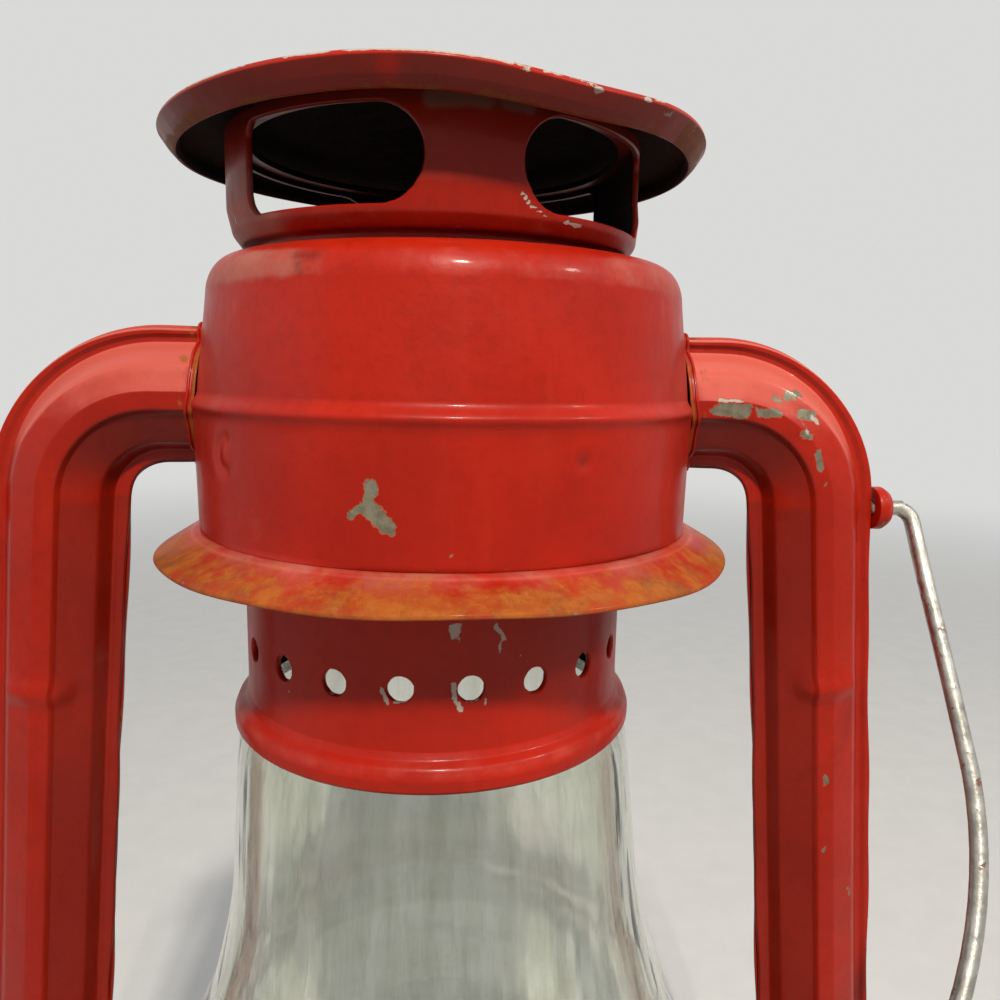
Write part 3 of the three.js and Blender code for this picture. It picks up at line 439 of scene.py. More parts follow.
def paint(name, stain=(0.42, 0.66)):
    """Old red enamel on sheet steel: faded, scratched, chipped to bare metal, dusty and stained, with painted
    highlights, sheen and shade laid in through its attributes.
    stain gives where the brown stain starts and where it is full: a wide range is a soft stain."""
    s = Shader(name)
    large = s.noise(42, 2, 0.5)
    fine = s.noise(620, 3, 0.6)
    streak = s.noise(1, 3, 0.6, s.scaled(260, 260, 26))
    red = s.mix(s.ramp(large, 0.35, 0.68), (0.36, 0.0100, 0.0018), (0.45, 0.0145, 0.0026))
    red = s.mix(s.ramp(fine, 0.42, 0.75, 0, 0.35), red, (0.27, 0.008, 0.002))
    red = s.mix(s.ramp(streak, 0.55, 0.8, 0, 0.22), red, (0.50, 0.036, 0.009))
    # paler sun-bleached paint, and painted highlights and sheen on tops, edges and ridges facing the lamps
    fade_and_highlight = s.plus(s.attr("fade_and_highlight"), s.patches(180, 3, 0.6, 0.3, 0.8, -0.12, 0.12))
    red = s.mix(s.ramp(fade_and_highlight, 0.12, 0.85), red, (0.68, 0.120, 0.085))
    # haze of worn gloss and dust, also laid on the chamber's shoulder and sides as painted sheen
    dust_and_sheen = s.plus(s.attr("dust_and_sheen"), s.patches(150, 4, 0.65, 0.3, 0.8, -0.16, 0.16))
    dust_and_sheen_mask = s.ramp(dust_and_sheen, 0.22, 0.75)
    red = s.mix(s.times(dust_and_sheen_mask, 0.5), red, (0.46, 0.25, 0.19))
    # brown and ochre staining
    rust_noise = s.noise(330, 5, 0.7)
    rust = s.plus(s.attr("rust"), s.ramp(rust_noise, 0.25, 0.8, -0.32, 0.32))
    rust_mask = s.ramp(rust, *stain)
    ochre_tone = s.mix(s.patches(210, 4, 0.65, 0.35, 0.7), (0.36, 0.085, 0.011), (0.19, 0.075, 0.016))
    brown = s.mix(s.ramp(rust_noise, 0.4, 0.7), ochre_tone, (0.42, 0.12, 0.016))
    colour = s.mix(s.times(rust_mask, 0.92), red, brown)
    # bare grey metal where the paint has come off
    ragged = s.plus(s.patches(900, 3, 0.6, 0.2, 0.8, -0.12, 0.12),
                    s.patches(300, 2, 0.5, 0.2, 0.8, -0.09, 0.09))
    ragged = s.plus(ragged, s.patches(2600, 2, 0.5, 0.2, 0.8, -0.08, 0.08))
    chip = s.plus(s.attr("chip"), ragged)
    edge = s.plus(s.attr("edge"), s.patches(420, 4, 0.7, 0.25, 0.8, -0.55, 0.2))
    chip = s.math("MAXIMUM", chip, edge)
    chip_mask = s.ramp(chip, 0.5, 0.53)
    rim_mask = s.math("SUBTRACT", s.ramp(chip, 0.42, 0.46), chip_mask, True)
    metal = s.mix(s.patches(700, 4, 0.7, 0.35, 0.7), (0.25, 0.235, 0.165), (0.15, 0.135, 0.09))
    colour = s.mix(s.times(rim_mask, 0.6), colour, (0.46, 0.17, 0.09))
    colour = s.mix(chip_mask, colour, metal)
    pale = s.plus(s.attr("pale"), s.patches(500, 4, 0.7, 0.25, 0.8, -0.3, 0.3))
    pale = s.plus(pale, s.patches(2200, 2, 0.5, 0.2, 0.8, -0.12, 0.12))
    pale_mask = s.ramp(pale, 0.45, 0.6)
    colour = s.mix(s.times(pale_mask, 0.85), colour, (0.52, 0.49, 0.41))
    # the dark attribute: soot, stains and charring, and painted shade and shadow on the cap's rim, the crown
    # and the tubes
    dark = s.attr("dark")
    colour = s.mix(s.times(dark, 0.85), colour, (0.030, 0.011, 0.006))
    # gloss
    rough = s.patches(120, 4, 0.6, 0.3, 0.75, 0.34, 0.46)
    rough = s.plus(rough, s.ramp(streak, 0.5, 0.8, 0, 0.12))
    rough = s.plus(rough, s.times(dust_and_sheen_mask, 0.22))
    rough = s.plus(rough, s.times(rust_mask, 0.30), True)
    scratch = s.ramp(s.noise(1, 2, 0.5, s.scaled(2600, 2600, 150)), 0.62, 0.72)
    normal = s.bump(s.noise(95, 2, 0.5), 0.28, 0.0011)
    normal = s.bump(s.noise(1100, 2, 0.5), 0.16, 0.0002, normal)
    relief = s.plus(rust_noise, s.times(scratch, -0.25))
    normal = s.bump(relief, s.ramp(rust_mask, 0, 1, 0.06, 0.55), 0.0003, normal)
    normal = s.bump(s.math("SUBTRACT", 1.0, s.math("MAXIMUM", chip_mask, pale_mask)), 0.7, 0.00014, normal)
    return s.surface(Base_Color=colour, Metallic=s.times(chip_mask, 0.35), Roughness=rough,
                     Normal=normal, Specular_IOR_Level=0.17, Coat_Weight=0.09, Coat_Roughness=0.11)


def soot_and_shade_material():
    """The inside of the hood: paint burnt brown under matt soot, near black, which also serves as painted
    shade inside the hood and under the cap's rim.
    """
    s = Shader("soot_and_shade_on_paint")
    n = s.noise(260, 5, 0.7)
    colour = s.mix(s.ramp(n, 0.35, 0.7), (0.010, 0.007, 0.006), (0.034, 0.018, 0.012))
    colour = s.mix(s.patches(90, 3, 0.6, 0.55, 0.8, 0, 0.6), colour, (0.06, 0.024, 0.012))
    return s.surface(Base_Color=colour, Roughness=s.ramp(n, 0.3, 0.7, 0.82, 0.97),
                     Normal=s.bump(n, 0.35, 0.0003), Specular_IOR_Level=0.06)


def metal(name, light, deep, rough_low, rough_high, rust=0.0):
    """Worn plain metal with tarnish and small stains."""
    s = Shader(name)
    tarnish = s.noise(300, 5, 0.65)
    colour = s.mix(s.ramp(tarnish, 0.35, 0.7), light, deep)
    spots = s.plus(s.patches(420, 5, 0.75, 0.3, 0.8), s.attr("rust"))
    rust_mask = s.ramp(spots, 0.78 - rust, 0.95 - rust * 0.7)
    brown = s.mix(tarnish, (0.23, 0.085, 0.025), (0.09, 0.035, 0.015))
    colour = s.mix(s.times(rust_mask, 0.9), colour, brown)
    colour = s.mix(s.times(s.attr("dark"), 0.85), colour, (0.02, 0.016, 0.012))
    rough = s.plus(s.patches(500, 4, 0.6, 0.3, 0.7, rough_low, rough_high), s.times(rust_mask, 0.35), True)
    normal = s.bump(s.noise(900, 4, 0.6), 0.22, 0.00015)
    normal = s.bump(spots, 0.25, 0.0002, normal)
    metallic = s.math("SUBTRACT", 1.0, s.times(rust_mask, 0.8), True)
    return s.surface(Base_Color=colour, Metallic=metallic, Roughness=rough, Normal=normal)


def glass_material():
    """Old clear glass: slightly wavy, with streaks of grime and a faint olive tint."""
    s = Shader("globe_glass_worn")
    streak = s.noise(1, 4, 0.62, s.scaled(230, 230, 9))
    fine = s.noise(1, 3, 0.6, s.scaled(900, 900, 30))
    grime = s.patches(240, 4, 0.7, 0.45, 0.8, 0, 0.10)
    tint = s.mix(s.ramp(streak, 0.38, 0.70), (0.93, 0.95, 0.90), (0.70, 0.73, 0.64))
    tint = s.mix(s.ramp(fine, 0.5, 0.8, 0, 0.5), tint, (0.66, 0.66, 0.54))
    tint = s.mix(s.times(s.attr("dust_and_sheen"), 0.7), tint, (0.55, 0.53, 0.42))
    rough = s.plus(s.ramp(streak, 0.45, 0.8, 0.0, 0.07), s.times(grime, 0.35), True)
    normal = s.bump(s.noise(1, 2, 0.5, s.scaled(95, 95, 16)), 0.5, 0.0009)
    normal = s.bump(s.noise(70, 1, 0.5), 0.25, 0.0007, normal)
    normal = s.bump(fine, 0.12, 0.0001, normal)
    return s.surface(Base_Color=tint, Roughness=rough, Normal=normal, Transmission_Weight=1.0, IOR=1.47)


def rubber_material():
    s = Shader("rubber_worn")
    n = s.noise(500, 4, 0.6)
    colour = s.mix(n, (0.018, 0.016, 0.015), (0.05, 0.046, 0.04))
    return s.surface(Base_Color=colour, Roughness=s.ramp(n, 0.3, 0.7, 0.6, 0.9),
                     Normal=s.bump(n, 0.4, 0.0003))


def cotton_material():
    s = Shader("cotton_woven")
    threads = []
    for direction, scale, distortion in (("Y", 260.0, 1.5), ("Z", 300.0, 1.0)):
        wave = s.add("TexWave", Vector=s.coord, Scale=scale, Distortion=distortion)
        wave.bands_direction = direction
        threads.append(wave.outputs["Fac"])
    weave = s.times(*threads)
    colour = s.mix(weave, (0.42, 0.36, 0.25), (0.72, 0.66, 0.52))
    colour = s.mix(s.attr("dark"), colour, (0.012, 0.010, 0.009))
    return s.surface(Base_Color=colour, Roughness=0.92, Normal=s.bump(weave, 0.6, 0.0003), Sheen_Weight=0.15)


# Each finish is a material, with the record's slot that it stands for
RED = (paint("red_paint_worn"), "red_paint")
RUSTY = (paint("rusty_paint_worn", (0.22, 0.95)), "rusty_paint")
SOOT_AND_SHADE = soot_and_shade_material()
STEEL = (metal("steel_wire_worn", (0.50, 0.49, 0.45), (0.30, 0.285, 0.25), 0.30, 0.52, rust=0.06),
         "steel_wire")
BRASS = (metal("brass_tarnished", (0.60, 0.43, 0.16), (0.27, 0.165, 0.055), 0.28, 0.55), "brass")
GLASS = (glass_material(), "globe_glass")
RUBBER = (rubber_material(), "rubber")
COTTON = (cotton_material(), "cotton")


# Camera

YAW, PITCH, ROLL = rad(3.84), rad(9.17), rad(1.13)
EYE = np.array([0.0, -122.4, 215.5])
FOCAL, SENSOR, PICTURE = 805.1, 36.0, 1000     # in pixels, in mm, and the picture's width in pixels
FORWARD = np.array([math.sin(YAW) * math.cos(PITCH), math.cos(YAW) * math.cos(PITCH), -math.sin(PITCH)])
level = np.array([math.cos(YAW), -math.sin(YAW), 0.0])
upright = np.cross(level, FORWARD)
CAM_X = level * math.cos(ROLL) + upright * math.sin(ROLL)
CAM_Y = upright * math.cos(ROLL) - level * math.sin(ROLL)

camera_data = bpy.data.cameras.new("camera")
camera_data.sensor_width = SENSOR
camera_data.lens = FOCAL * SENSOR / PICTURE
camera_data.clip_start = 0.001
camera = bpy.data.objects.new("camera", camera_data)
bpy.context.scene.collection.objects.link(camera)
axes = np.column_stack([CAM_X, CAM_Y, -FORWARD, EYE * MM])
camera.matrix_world = Matrix([*axes.tolist(), [0, 0, 0, 1]])
bpy.context.scene.camera = camera


# The hood

def sooty_and_shaded(obj, test):
    """Soot and painted shade on the faces that pass the test: distance from the hood's axis, height, slope
    outward and up.
    """
    obj.data.materials.append(SOOT_AND_SHADE)
    for face in obj.data.polygons:
        x, y, z = face.center / MM
        x -= LOOSE
        r = math.hypot(x, y)
        outward_slope = (face.normal.x * x + face.normal.y * y) / max(r, 1e-6)
        if test(r, z, outward_slope, face.normal.z):
            face.material_index = 1


CAP_R = 37.4
# The knock that bent the rim down: how far in mm, then where and how wide in degrees
DROOP, DROOP_AT, DROOP_WIDE = 1.2, 26.0, 19.0


def rim_lift(T):
    """How far the cap's rim is bent up by use, at an angle round it: mostly down."""
    wave = 0.28 * np.sin(2 * T + 0.7) + 0.16 * np.sin(3 * T + 2.1)
    return wave - 0.42 - DROOP * bump_at(angle_from(T, DROOP_AT), 0, rad(DROOP_WIDE))


def cap_warp(R, T, Z):
    k = (R / CAP_R) ** 3
    return R + k * 0.12 * np.sin(3 * T + 1.0), Z + k * rim_lift(T)


def rain_cap():
    under = spline([(0, 252.6), (13.4, 251.2), (26.0, 248.4), (30.3, 246.9), (33.9, 245.95)], 6)
    curl = rounded([(33.9, 245.95), (34.75, 245.5, 0.3, 3), (34.75, 244.1, 0.6, 4), (35.3, 243.25, 0.45, 5),
                    (36.5, 244.6, 1.5, 4), (37.48, 246.1, 0.3, 6), (37.25, 246.62, 0.26, 6), (35.6, 246.7)])
    top = spline([(35.6, 246.7), (31.5, 248.35), (24.0, 250.6), (13.0, 252.6), (0, 253.42)], 6)
    return lathe(resample(under[:-1] + curl + top[1:], 1.2), 224, cap_warp, (LOOSE, 0))


cap = piece("cap_rolled", rain_cap(), "hood", RED, "rain_cap")
# the cap's underside: soot, and painted shade under the rim
sooty_and_shaded(cap, lambda r, z, out, up: r < 35.2 and (out < -0.2 or up < -0.1) and up < 0.5)


# The crown's windows: first and last angle, then the corners' radius at either end
WINDOWS = ((-52, -2, 1.9, 5.3), (20, 73, 5.3, 1.9), (117, 164, 1.9, 5.3), (204, 265, 5.3, 1.9))
WINDOW_MID, WINDOW_HALF, CROWN_R = 238.9, 5.5, 29.2


def window_field(verts):
    """Below zero inside the crown's windows."""
    best = np.full(len(verts), FAR)
    for start, end, r0, r1 in WINDOWS:
        across, toward = seen_from(verts, rad((start + end) / 2))
        half = CROWN_R * math.sin(rad((end - start) / 2))
        d = box_field(across, verts[:, 2] - WINDOW_MID, half, WINDOW_HALF, np.where(across < 0, r0, r1))
        best = np.minimum(best, np.where(toward > 8, d, FAR))
    return best


def crown_warp(R, T, Z):
    """The crown is pushed in a little on its right side."""
    return R - 1.1 * bump_at(angle_from(T, 92), 0, rad(24)) * rise(Z, 232.5, 6), Z


def crown():
    prof = rounded([(25.25, 230.0), (25.25, 231.3, 0.4, 3), (27.3, 231.35, 0.5, 3), (28.5, 232.9, 1.5, 3),
                    (CROWN_R, 236.0, 3, 4), (CROWN_R, 245.95, 0.5, 3), (26.3, 245.95)])
    prof = resample(prof, 0.5)
    return shell(prof, 400, 0.9, 0.18, window_field, crown_warp, (LOOSE, 0))


ring = piece("crown_pressed", crown(), "hood", RED, "crown")
sooty_and_shaded(ring, lambda r, z, out, up: r < 28.55 and z > 232 and out < -0.5)


def chimney():
    loop = [(23.1, 193.55), (30.8, 193.55), (30.8, 194.35), (24.6, 194.4), (24.0, 195.0), (24.0, 233.75),
            (23.1, 233.75)]
    return lathe(resample(loop, 3), 128, None, (LOOSE, 0))


flue = piece("chimney_sheet", chimney(), "hood", RED, "inner_chimney")
sooty_and_shaded(flue, lambda r, z, out, up: r < 23.6 or z > 230)


HOLES, HOLE_Z, HOLE_R = 20, 176.4, 1.86


def collar_holes(verts):
    best = np.full(len(verts), FAR)
    for k in range(HOLES):
        across, toward = seen_from(verts, rad(10 + 360 / HOLES * k))
        d = np.hypot(across, verts[:, 2] - HOLE_Z) - HOLE_R
        best = np.minimum(best, np.where(toward > 8, d, FAR))
    return best


def collar():
    prof = rounded([(29.95, 163.6), (30.28, 164.0, 0.25, 3), (30.3, 165.3, 0.9, 5), (29.75, 166.7, 1.2, 5),
                    (28.8, 167.5, 0.6, 4), (28.32, 168.4, 0.6, 4), (28.2, 171.0, 2, 3), (28.2, 193.15)])
    prof = resample(prof, 0.4)
    return shell(prof, 420, 0.9, 0.16, collar_holes, None, (LOOSE, 0))


sleeve = piece("collar_perforated", collar(), "hood", RED, "globe_collar")
sooty_and_shaded(sleeve, lambda r, z, out, up: out < -0.3 and z > 164.5)


# Chamber and brim

TOP_Z, LOW_Z = 211.0, 52.0                    # the middles of the tubes' upper and lower ends
DRUM_R, DRUM_UPPER_R, DRUM_TAPER = 35.7, 35.02, 0.098
BEAD_LOW, BEAD_HIGH = 209.3, 212.3
SHOULDER_LOW, SHOULDER_TOP, SHOULDER_DEEP = 224.9, 229.75, 3.8


def chamber_warp(R, T, Z):
    """The bead, the places where the tubes enter, two small dents, and a drum that isn't quite round."""
    root = sum(bump_at(angle_from(T, side) * 35, 0, 11) * bump_at(Z, TOP_Z, 10.5) for side in (90, 270))
    bead = 0.62 * bump_at(Z, 210.3, 0.95) * (1 - np.clip(root * 1.25, 0, 1))
    across = angle_from(T, -49) * 35
    d = np.hypot(across, Z - 204.7)
    dents = 0.30 * bump_at(d, 2.0, 0.75) * (0.35 + 0.65 * (across < 0.6)) - 0.1 * bump_at(d, 0, 1.2)
    dents += 0.55 * bump_at(np.hypot(angle_from(T, 25.8) * 35, Z - 205.3), 0, 0.75)
    uneven = fall(Z, SHOULDER_TOP - 0.1, 3) * (0.10 * np.sin(3 * T + 0.6) + 0.08 * np.sin(7 * T + Z / 9))
    in_wall = (Z > 193.4) & (R > 30)
    return R + in_wall * (bead + 0.42 * root - dents + uneven), Z


def chamber_ports(verts):
    return box_field(verts[:, 1], verts[:, 2] - TOP_Z, 5, 6, 2)


def chamber():
    wall = [(DRUM_R, z) for z in np.arange(193.55, BEAD_LOW, 0.55)]
    for z in np.arange(BEAD_LOW, BEAD_HIGH, 0.2):
        share = min(1, max(0, (z - 209.6) / 2.4))
        wall.append((DRUM_R - (DRUM_R - DRUM_UPPER_R) * (0.5 - 0.5 * math.cos(math.pi * share)), z))
    for z in np.arange(BEAD_HIGH, SHOULDER_LOW - 0.1, 0.55):
        wall.append((DRUM_UPPER_R - DRUM_TAPER * (z - BEAD_HIGH), z))
    edge = DRUM_UPPER_R - DRUM_TAPER * (SHOULDER_LOW - BEAD_HIGH) - SHOULDER_DEEP
    high = SHOULDER_TOP - SHOULDER_LOW
    for a in range(3, 91, 6):
        wall.append((edge + SHOULDER_DEEP * math.cos(rad(a)), SHOULDER_LOW + high * math.sin(rad(a))))
    top = [(28.6, SHOULDER_TOP), (27.3, SHOULDER_TOP - 0.05)]
    prof = [(35.66, 193.24)] + wall + top
    return shell(prof, 384, 0.5, 0.12, chamber_ports, chamber_warp)


drum = piece("chamber_drum", chamber(), "lamp_body", RED, "chamber_shell")
sooty_and_shaded(drum, lambda r, z, out, up: out < -0.5 or (up < -0.8 and z > 226))


def brim_warp(R, T, Z):
    k = rise(R, 34.5, 7.4) ** 1.5
    Z = Z + k * (0.22 * np.sin(2 * T + 2.2) + 0.16 * np.sin(5 * T + 0.4) + 0.09 * np.sin(11 * T + 1.1) - 0.2)
    R = R - k * (0.12 + 0.12 * np.sin(4 * T + 1.9))
    return R, Z


def brim():
    loop = rounded([(30.9, 192.35, 0.3, 2), (35.6, 192.3, 1.5, 4), (41.7, 189.45, 0.28, 3),
                    (41.88, 189.7, 0.2, 2), (41.8, 190.1, 0.28, 3), (36.7, 192.72, 0.8, 4),
                    (36.15, 193.15, 0.35, 3), (30.9, 193.15, 0.3, 2)], True)
    return lathe(closed_loop(loop, 0.8), 300, brim_warp)


piece("brim_flange", brim(), "lamp_body", RUSTY, "chamber_brim")


# Tubes

BEND, SPLAY = 15.8, rad(5.1)
START_X, END_X, BEND_X = 36.5, 24.9, 41.3
CROSS_BEAD_Z = 167.4
UPPER_X = BEND_X + BEND * math.cos(SPLAY)
UPPER_Z = TOP_Z - BEND * (1 - math.sin(SPLAY))
LOW_C = LOW_Z + BEND
LOW_START = LOW_C + BEND * math.sin(SPLAY)


def tube_x(z):
    return UPPER_X + (UPPER_Z - z) * math.tan(SPLAY)


def tube_path():
    """Stations along the tube's middle, from the drum down to the air box, with their directions."""
    pts, tan = [], []
    for x in np.linspace(START_X, BEND_X, 5)[:-1]:
        pts.append((x, 0, TOP_Z))
        tan.append((1, 0, 0))
    for a in np.linspace(0, math.pi / 2 - SPLAY, 30):
        pts.append((BEND_X + BEND * math.sin(a), 0, TOP_Z - BEND + BEND * math.cos(a)))
        tan.append((math.cos(a), 0, -math.sin(a)))
    for z in np.linspace(UPPER_Z, LOW_START, 112)[1:-1]:
        pts.append((tube_x(z), 0, z))
        tan.append((math.sin(SPLAY), 0, -math.cos(SPLAY)))
    cx = tube_x(LOW_START) - BEND * math.cos(SPLAY)
    for a in np.linspace(SPLAY, -math.pi / 2, 30):
        pts.append((cx + BEND * math.cos(a), 0, LOW_C + BEND * math.sin(a)))
        tan.append((math.sin(a), 0, -math.cos(a)))
    for x in np.linspace(cx, END_X, 10)[1:]:
        pts.append((x, 0, LOW_Z))
        tan.append((-1, 0, 0))
    return np.array(pts), np.array(tan)


# One pressed half in section: first across, where the outer side of the bend is +, then away from the seam
TUBE_OUTER = rounded([
    (-10.0, 0.06), (-9.95, 0.75, 0.3, 3), (-8.6, 0.9, 0.3, 2), (-7.9, 0.8, 0.5, 4), (-6.8, 3.4, 1.2, 4),
    (-2.5, 6.3, 0.5, 4), (-1.9, 7.15, 0.6, 4), (0.6, 7.25, 0.7, 4), (4.6, 5.6, 1.8, 6), (7.4, 0.9, 0.6, 4),
    (8.2, 0.8, 0.3, 2), (8.9, 1.1, 0.3, 3), (9.8, 1.1, 0.3, 3), (10.0, 0.5, 0.2, 2), (10.0, 0.06)])
TUBE_OUTER = np.array(resample(TUBE_OUTER, 0.9))
TUBE_INNER = np.array(rounded([
    (6.85, 0.06), (3.8, 5.05, 1.0, 4), (0.4, 6.35, 0.5, 3), (-1.3, 6.28, 0.4, 3), (-2.0, 5.55, 0.4, 3),
    (-6.07, 2.8, 0.8, 4), (-7.2, 0.06)]))


def drum_radius(z):
    """The drum's outer radius at its sides, at that height."""
    return np.interp(z, (193.5, 209.6, 211.9, 227.3), (35.9, 36.1, 35.6, 34.2))


def saddle(y, z, gap):
    """How far out along X the drum's side lies at that place, plus a gap."""
    return np.sqrt((drum_radius(z) + gap) ** 2 - y ** 2)


def tube_half(side, mirror):
    path, tan = tube_path()
    body_part = fall(np.abs(TUBE_OUTER[:, 0]), 7.6, 1.2)
    rims = rise(np.abs(TUBE_OUTER[:, 0]), 8.6, 1.0) * np.sign(TUBE_OUTER[:, 0])
    bead_part = fall(np.abs(TUBE_OUTER[:, 0] - 0.15), 5.3, 1.7)
    bead_part = bead_part ** 2 * (3 - 2 * bead_part) * fall(TUBE_OUTER[:, 1], 8.1, 1.1)
    verts = []
    for p, t in zip(path, tan):
        across = np.array([-t[2], 0, t[0]])
        o = TUBE_OUTER.copy()
        # a cross bead pressed into the tube, and slight unevenness of the sheet
        if p[0] > 50:
            width = 1.7 if p[2] > CROSS_BEAD_Z else 1.1
            o[:, 1] += 1.1 * bead_part * bump_at(p[2], CROSS_BEAD_Z, width)
        wobble = 0.16 * math.sin(p[2] / 9.0 + p[0] / 5.0 + side) + 0.10 * math.sin(p[2] / 3.7 + 1.3 * side)
        o[:, 0] += rims * (wobble - 0.22)
        o[:, 1] += body_part * 0.10 * math.sin(p[2] / 13.0 + p[0] / 7.0 + 2 * side)
        sec = np.vstack([o, TUBE_INNER])
        station = p + sec[:, :1] * across + sec[:, 1:] * np.array([0, side, 0])
        if p[0] < BEND_X and p[2] > TOP_Z - 1:
            share = (BEND_X - p[0]) / (BEND_X - START_X)
            station[:, 0] += share * (saddle(station[:, 1], station[:, 2], 0.6) - START_X)
        verts.append(station)
    n, k = len(path), len(TUBE_OUTER) + len(TUBE_INNER)
    verts = np.vstack(verts)
    if mirror:
        verts = verts * np.array([-1, 1, 1])
    return verts, capped(grid_faces(n, k), k)


for label, mirror in (("right", False), ("left", True)):
    for part, side in (("front", -1), ("back", 1)):
        node = f"tube_{label}_{part}"
        piece(node + "_pressed", tube_half(side, mirror), "lamp_body", RED, node, 50)


def ring_loop(margin):
    """The line round both halves of a tube, that far outside them, with its outward directions."""
    half = [tuple(q) for q in TUBE_OUTER[1:-1]]
    loop = half + [(a, -b) for a, b in reversed(half)]
    loop = np.array(closed_loop(loop, 0.5))
    for _ in range(14):
        loop = (np.roll(loop, 1, 0) + 2 * loop + np.roll(loop, -1, 0)) / 4
    t = np.roll(loop, -1, 0) - np.roll(loop, 1, 0)
    t /= np.linalg.norm(t, axis=1, keepdims=True)
    out = np.stack([-t[:, 1], t[:, 0]], 1)
    return loop + out * margin, out


def tube_ring(mirror):
    """The rolled joint where a tube meets the drum: two lips with a groove between, bent to the drum."""
    loop, out = ring_loop(0.42)
    sec = rounded([(-0.35, 0.05, 0.1, 1), (0.22, 0.05, 0.15, 3), (0.24, 0.42, 0.15, 3), (0.0, 0.5, 0.1, 2),
                   (0.0, 0.8, 0.1, 2), (0.24, 0.88, 0.15, 3), (0.22, 1.25, 0.15, 3),
                   (-0.35, 1.25, 0.1, 1)], True)
    verts = []
    for i in range(len(loop)):
        for a, b in sec:
            up, y = loop[i] + out[i] * a
            x = saddle(y, TOP_Z + up, b) + 0.05 * math.sin(i * 0.35)
            verts.append(((-x if mirror else x), y, TOP_Z + up))
    return np.array(verts), grid_faces(len(loop), len(sec), True)


for label, mirror in (("right", False), ("left", True)):
    piece(f"joint_ring_{label}", tube_ring(mirror), "lamp_body", RUSTY, f"tube_ring_{label}")


# Ears and bail

EAR_X, EAR_Z = 67.8, 195.0
for label, sign in (("right", 1), ("left", -1)):
    loop = rounded([(1.36, -0.5, 0.2, 2), (3.35, -0.5, 0.25, 2), (3.4, 0.9, 0.5, 3), (2.7, 1.95, 0.5, 4),
                    (1.36, 1.95, 0.25, 2)], True)
    verts, faces = lathe(closed_loop(loop, 0.6), 40)
    verts = np.stack([(verts[:, 2] + EAR_X) * sign, verts[:, 0], verts[:, 1] + EAR_Z], 1)
    piece(f"ear_{label}", (verts, faces), "lamp_body", RED, f"bail_ear_{label}")


def bail_points():
    half = [(66.9, 0), (72.4, 0)]
    half += [(71.35 + 2.5 * math.sin(rad(a)), -2.5 + 2.5 * math.cos(rad(a))) for a in range(15, 91, 15)]
    bow = [(75.85 * math.cos(rad(a)), -(40 + 67.03 * math.sin(rad(a)))) for a in np.linspace(0, 90, 31)]
    straight = spline([(73.85, -2.5), (74.3, -12), (75.1, -25), (75.85, -40)], 6)[1:-1]
    half += straight + bow
    other = [(-x, z) for x, z in reversed(half[:-1])]
    lean = rad(27.556)
    return [(x, z * math.sin(lean), EAR_Z + z * math.cos(lean)) for x, z in half + other]


piece("bail_wire", wire(bail_points(), 1.2, 16), "bail", STEEL, "bail_handle")


def guard_points():
    lo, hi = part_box("guard_wire")
    z = (lo.z + hi.z) / 2 / MM
    a = tube_x(z) - 10 - 0.3 - 1.1
    return [(a * math.cos(rad(t)), -48 * math.sin(rad(t)), z) for t in np.linspace(0, 180, 91)]


piece("guard_wire_round", wire(guard_points(), 1.1, 16), "lamp_body", STEEL, "guard_wire")


# Globe

GLOBE_OUT = [(29.18, 75.3), (29.55, 79.9), (36.9, 86.1), (42.0, 99.1), (40.6, 108.1), (36.4, 118.6),
             (32.7, 133.5), (31.35, 146.5), (30.35, 158.0), (29.5, 162.6), (27.9, 166.8)]
GLASS_THICK = 1.7


def globe():
    outer = spline(GLOBE_OUT, 8)
    p = np.array(outer)
    t = np.gradient(p, axis=0)
    t /= np.linalg.norm(t, axis=1, keepdims=True)
    inner = p - np.stack([t[:, 1], -t[:, 0]], 1) * GLASS_THICK
    inner[0] = (outer[0][0] - GLASS_THICK, 75.32)
    inner[-1] = (outer[-1][0] - GLASS_THICK, 166.78)
    rim_top = [(27.35, 167.02), (26.75, 167.02)]
    rim_low = [(28.0, 75.3), (28.7, 75.28)]
    loop = outer + rim_top + [tuple(q) for q in inner[::-1]] + rim_low
    verts, faces = lathe(loop, 192)
    verts[:, 0] += LOOSE + 1.2 * fall(verts[:, 2], 167, 49)
    return verts, faces


piece("globe_blown", globe(), "globe_carriage", GLASS, "globe", 60)


def plate_holes(verts):
    best = np.full(len(verts), FAR)
    for k in range(10):
        a = 2 * math.pi * (k + 0.5) / 10
        d = np.hypot(verts[:, 0] - 24.35 * math.cos(a), verts[:, 1] - 24.35 * math.sin(a)) - 1.9
        best = np.minimum(best, np.where(verts[:, 2] < 75.5, d, FAR))
    return best


prof = resample(rounded([(21.4, 74.15), (33.0, 74.15, 1.0, 5), (33.0, 78.8)]), 0.5)
piece("globe_plate_pressed", shell(prof, 300, 0.9, 0.15, plate_holes), "globe_carriage", RED, "globe_plate")


# Tank, filler

TANK_BEADS = (9.5, 30.5)


def tank_warp(R, T, Z):
    return R + 0.45 * (bump_at(Z, TANK_BEADS[0], 0.9) + bump_at(Z, TANK_BEADS[1], 0.9)) * (R > 50), Z


def tank_hole(verts):
    return np.where(verts[:, 2] > 30, np.hypot(verts[:, 0] + 23.99, verts[:, 1] + 29.98) - 9.45, FAR)


def tank():
    prof = [(56.6, z) for z in np.arange(1.4, 33.9, 0.5)]
    prof += [(50.0 + 6.6 * math.cos(rad(a)), 33.9 + 6.6 * math.sin(rad(a))) for a in range(0, 91, 5)]
    prof += [(r, 40.5) for r in np.arange(49.5, 15.8, -0.6)] + [(15.7, 40.5)]
    return shell(prof, 320, 0.9, 0.12, tank_hole, tank_warp)


piece("tank_drawn", tank(), "lamp_body", RED, "tank_shell")


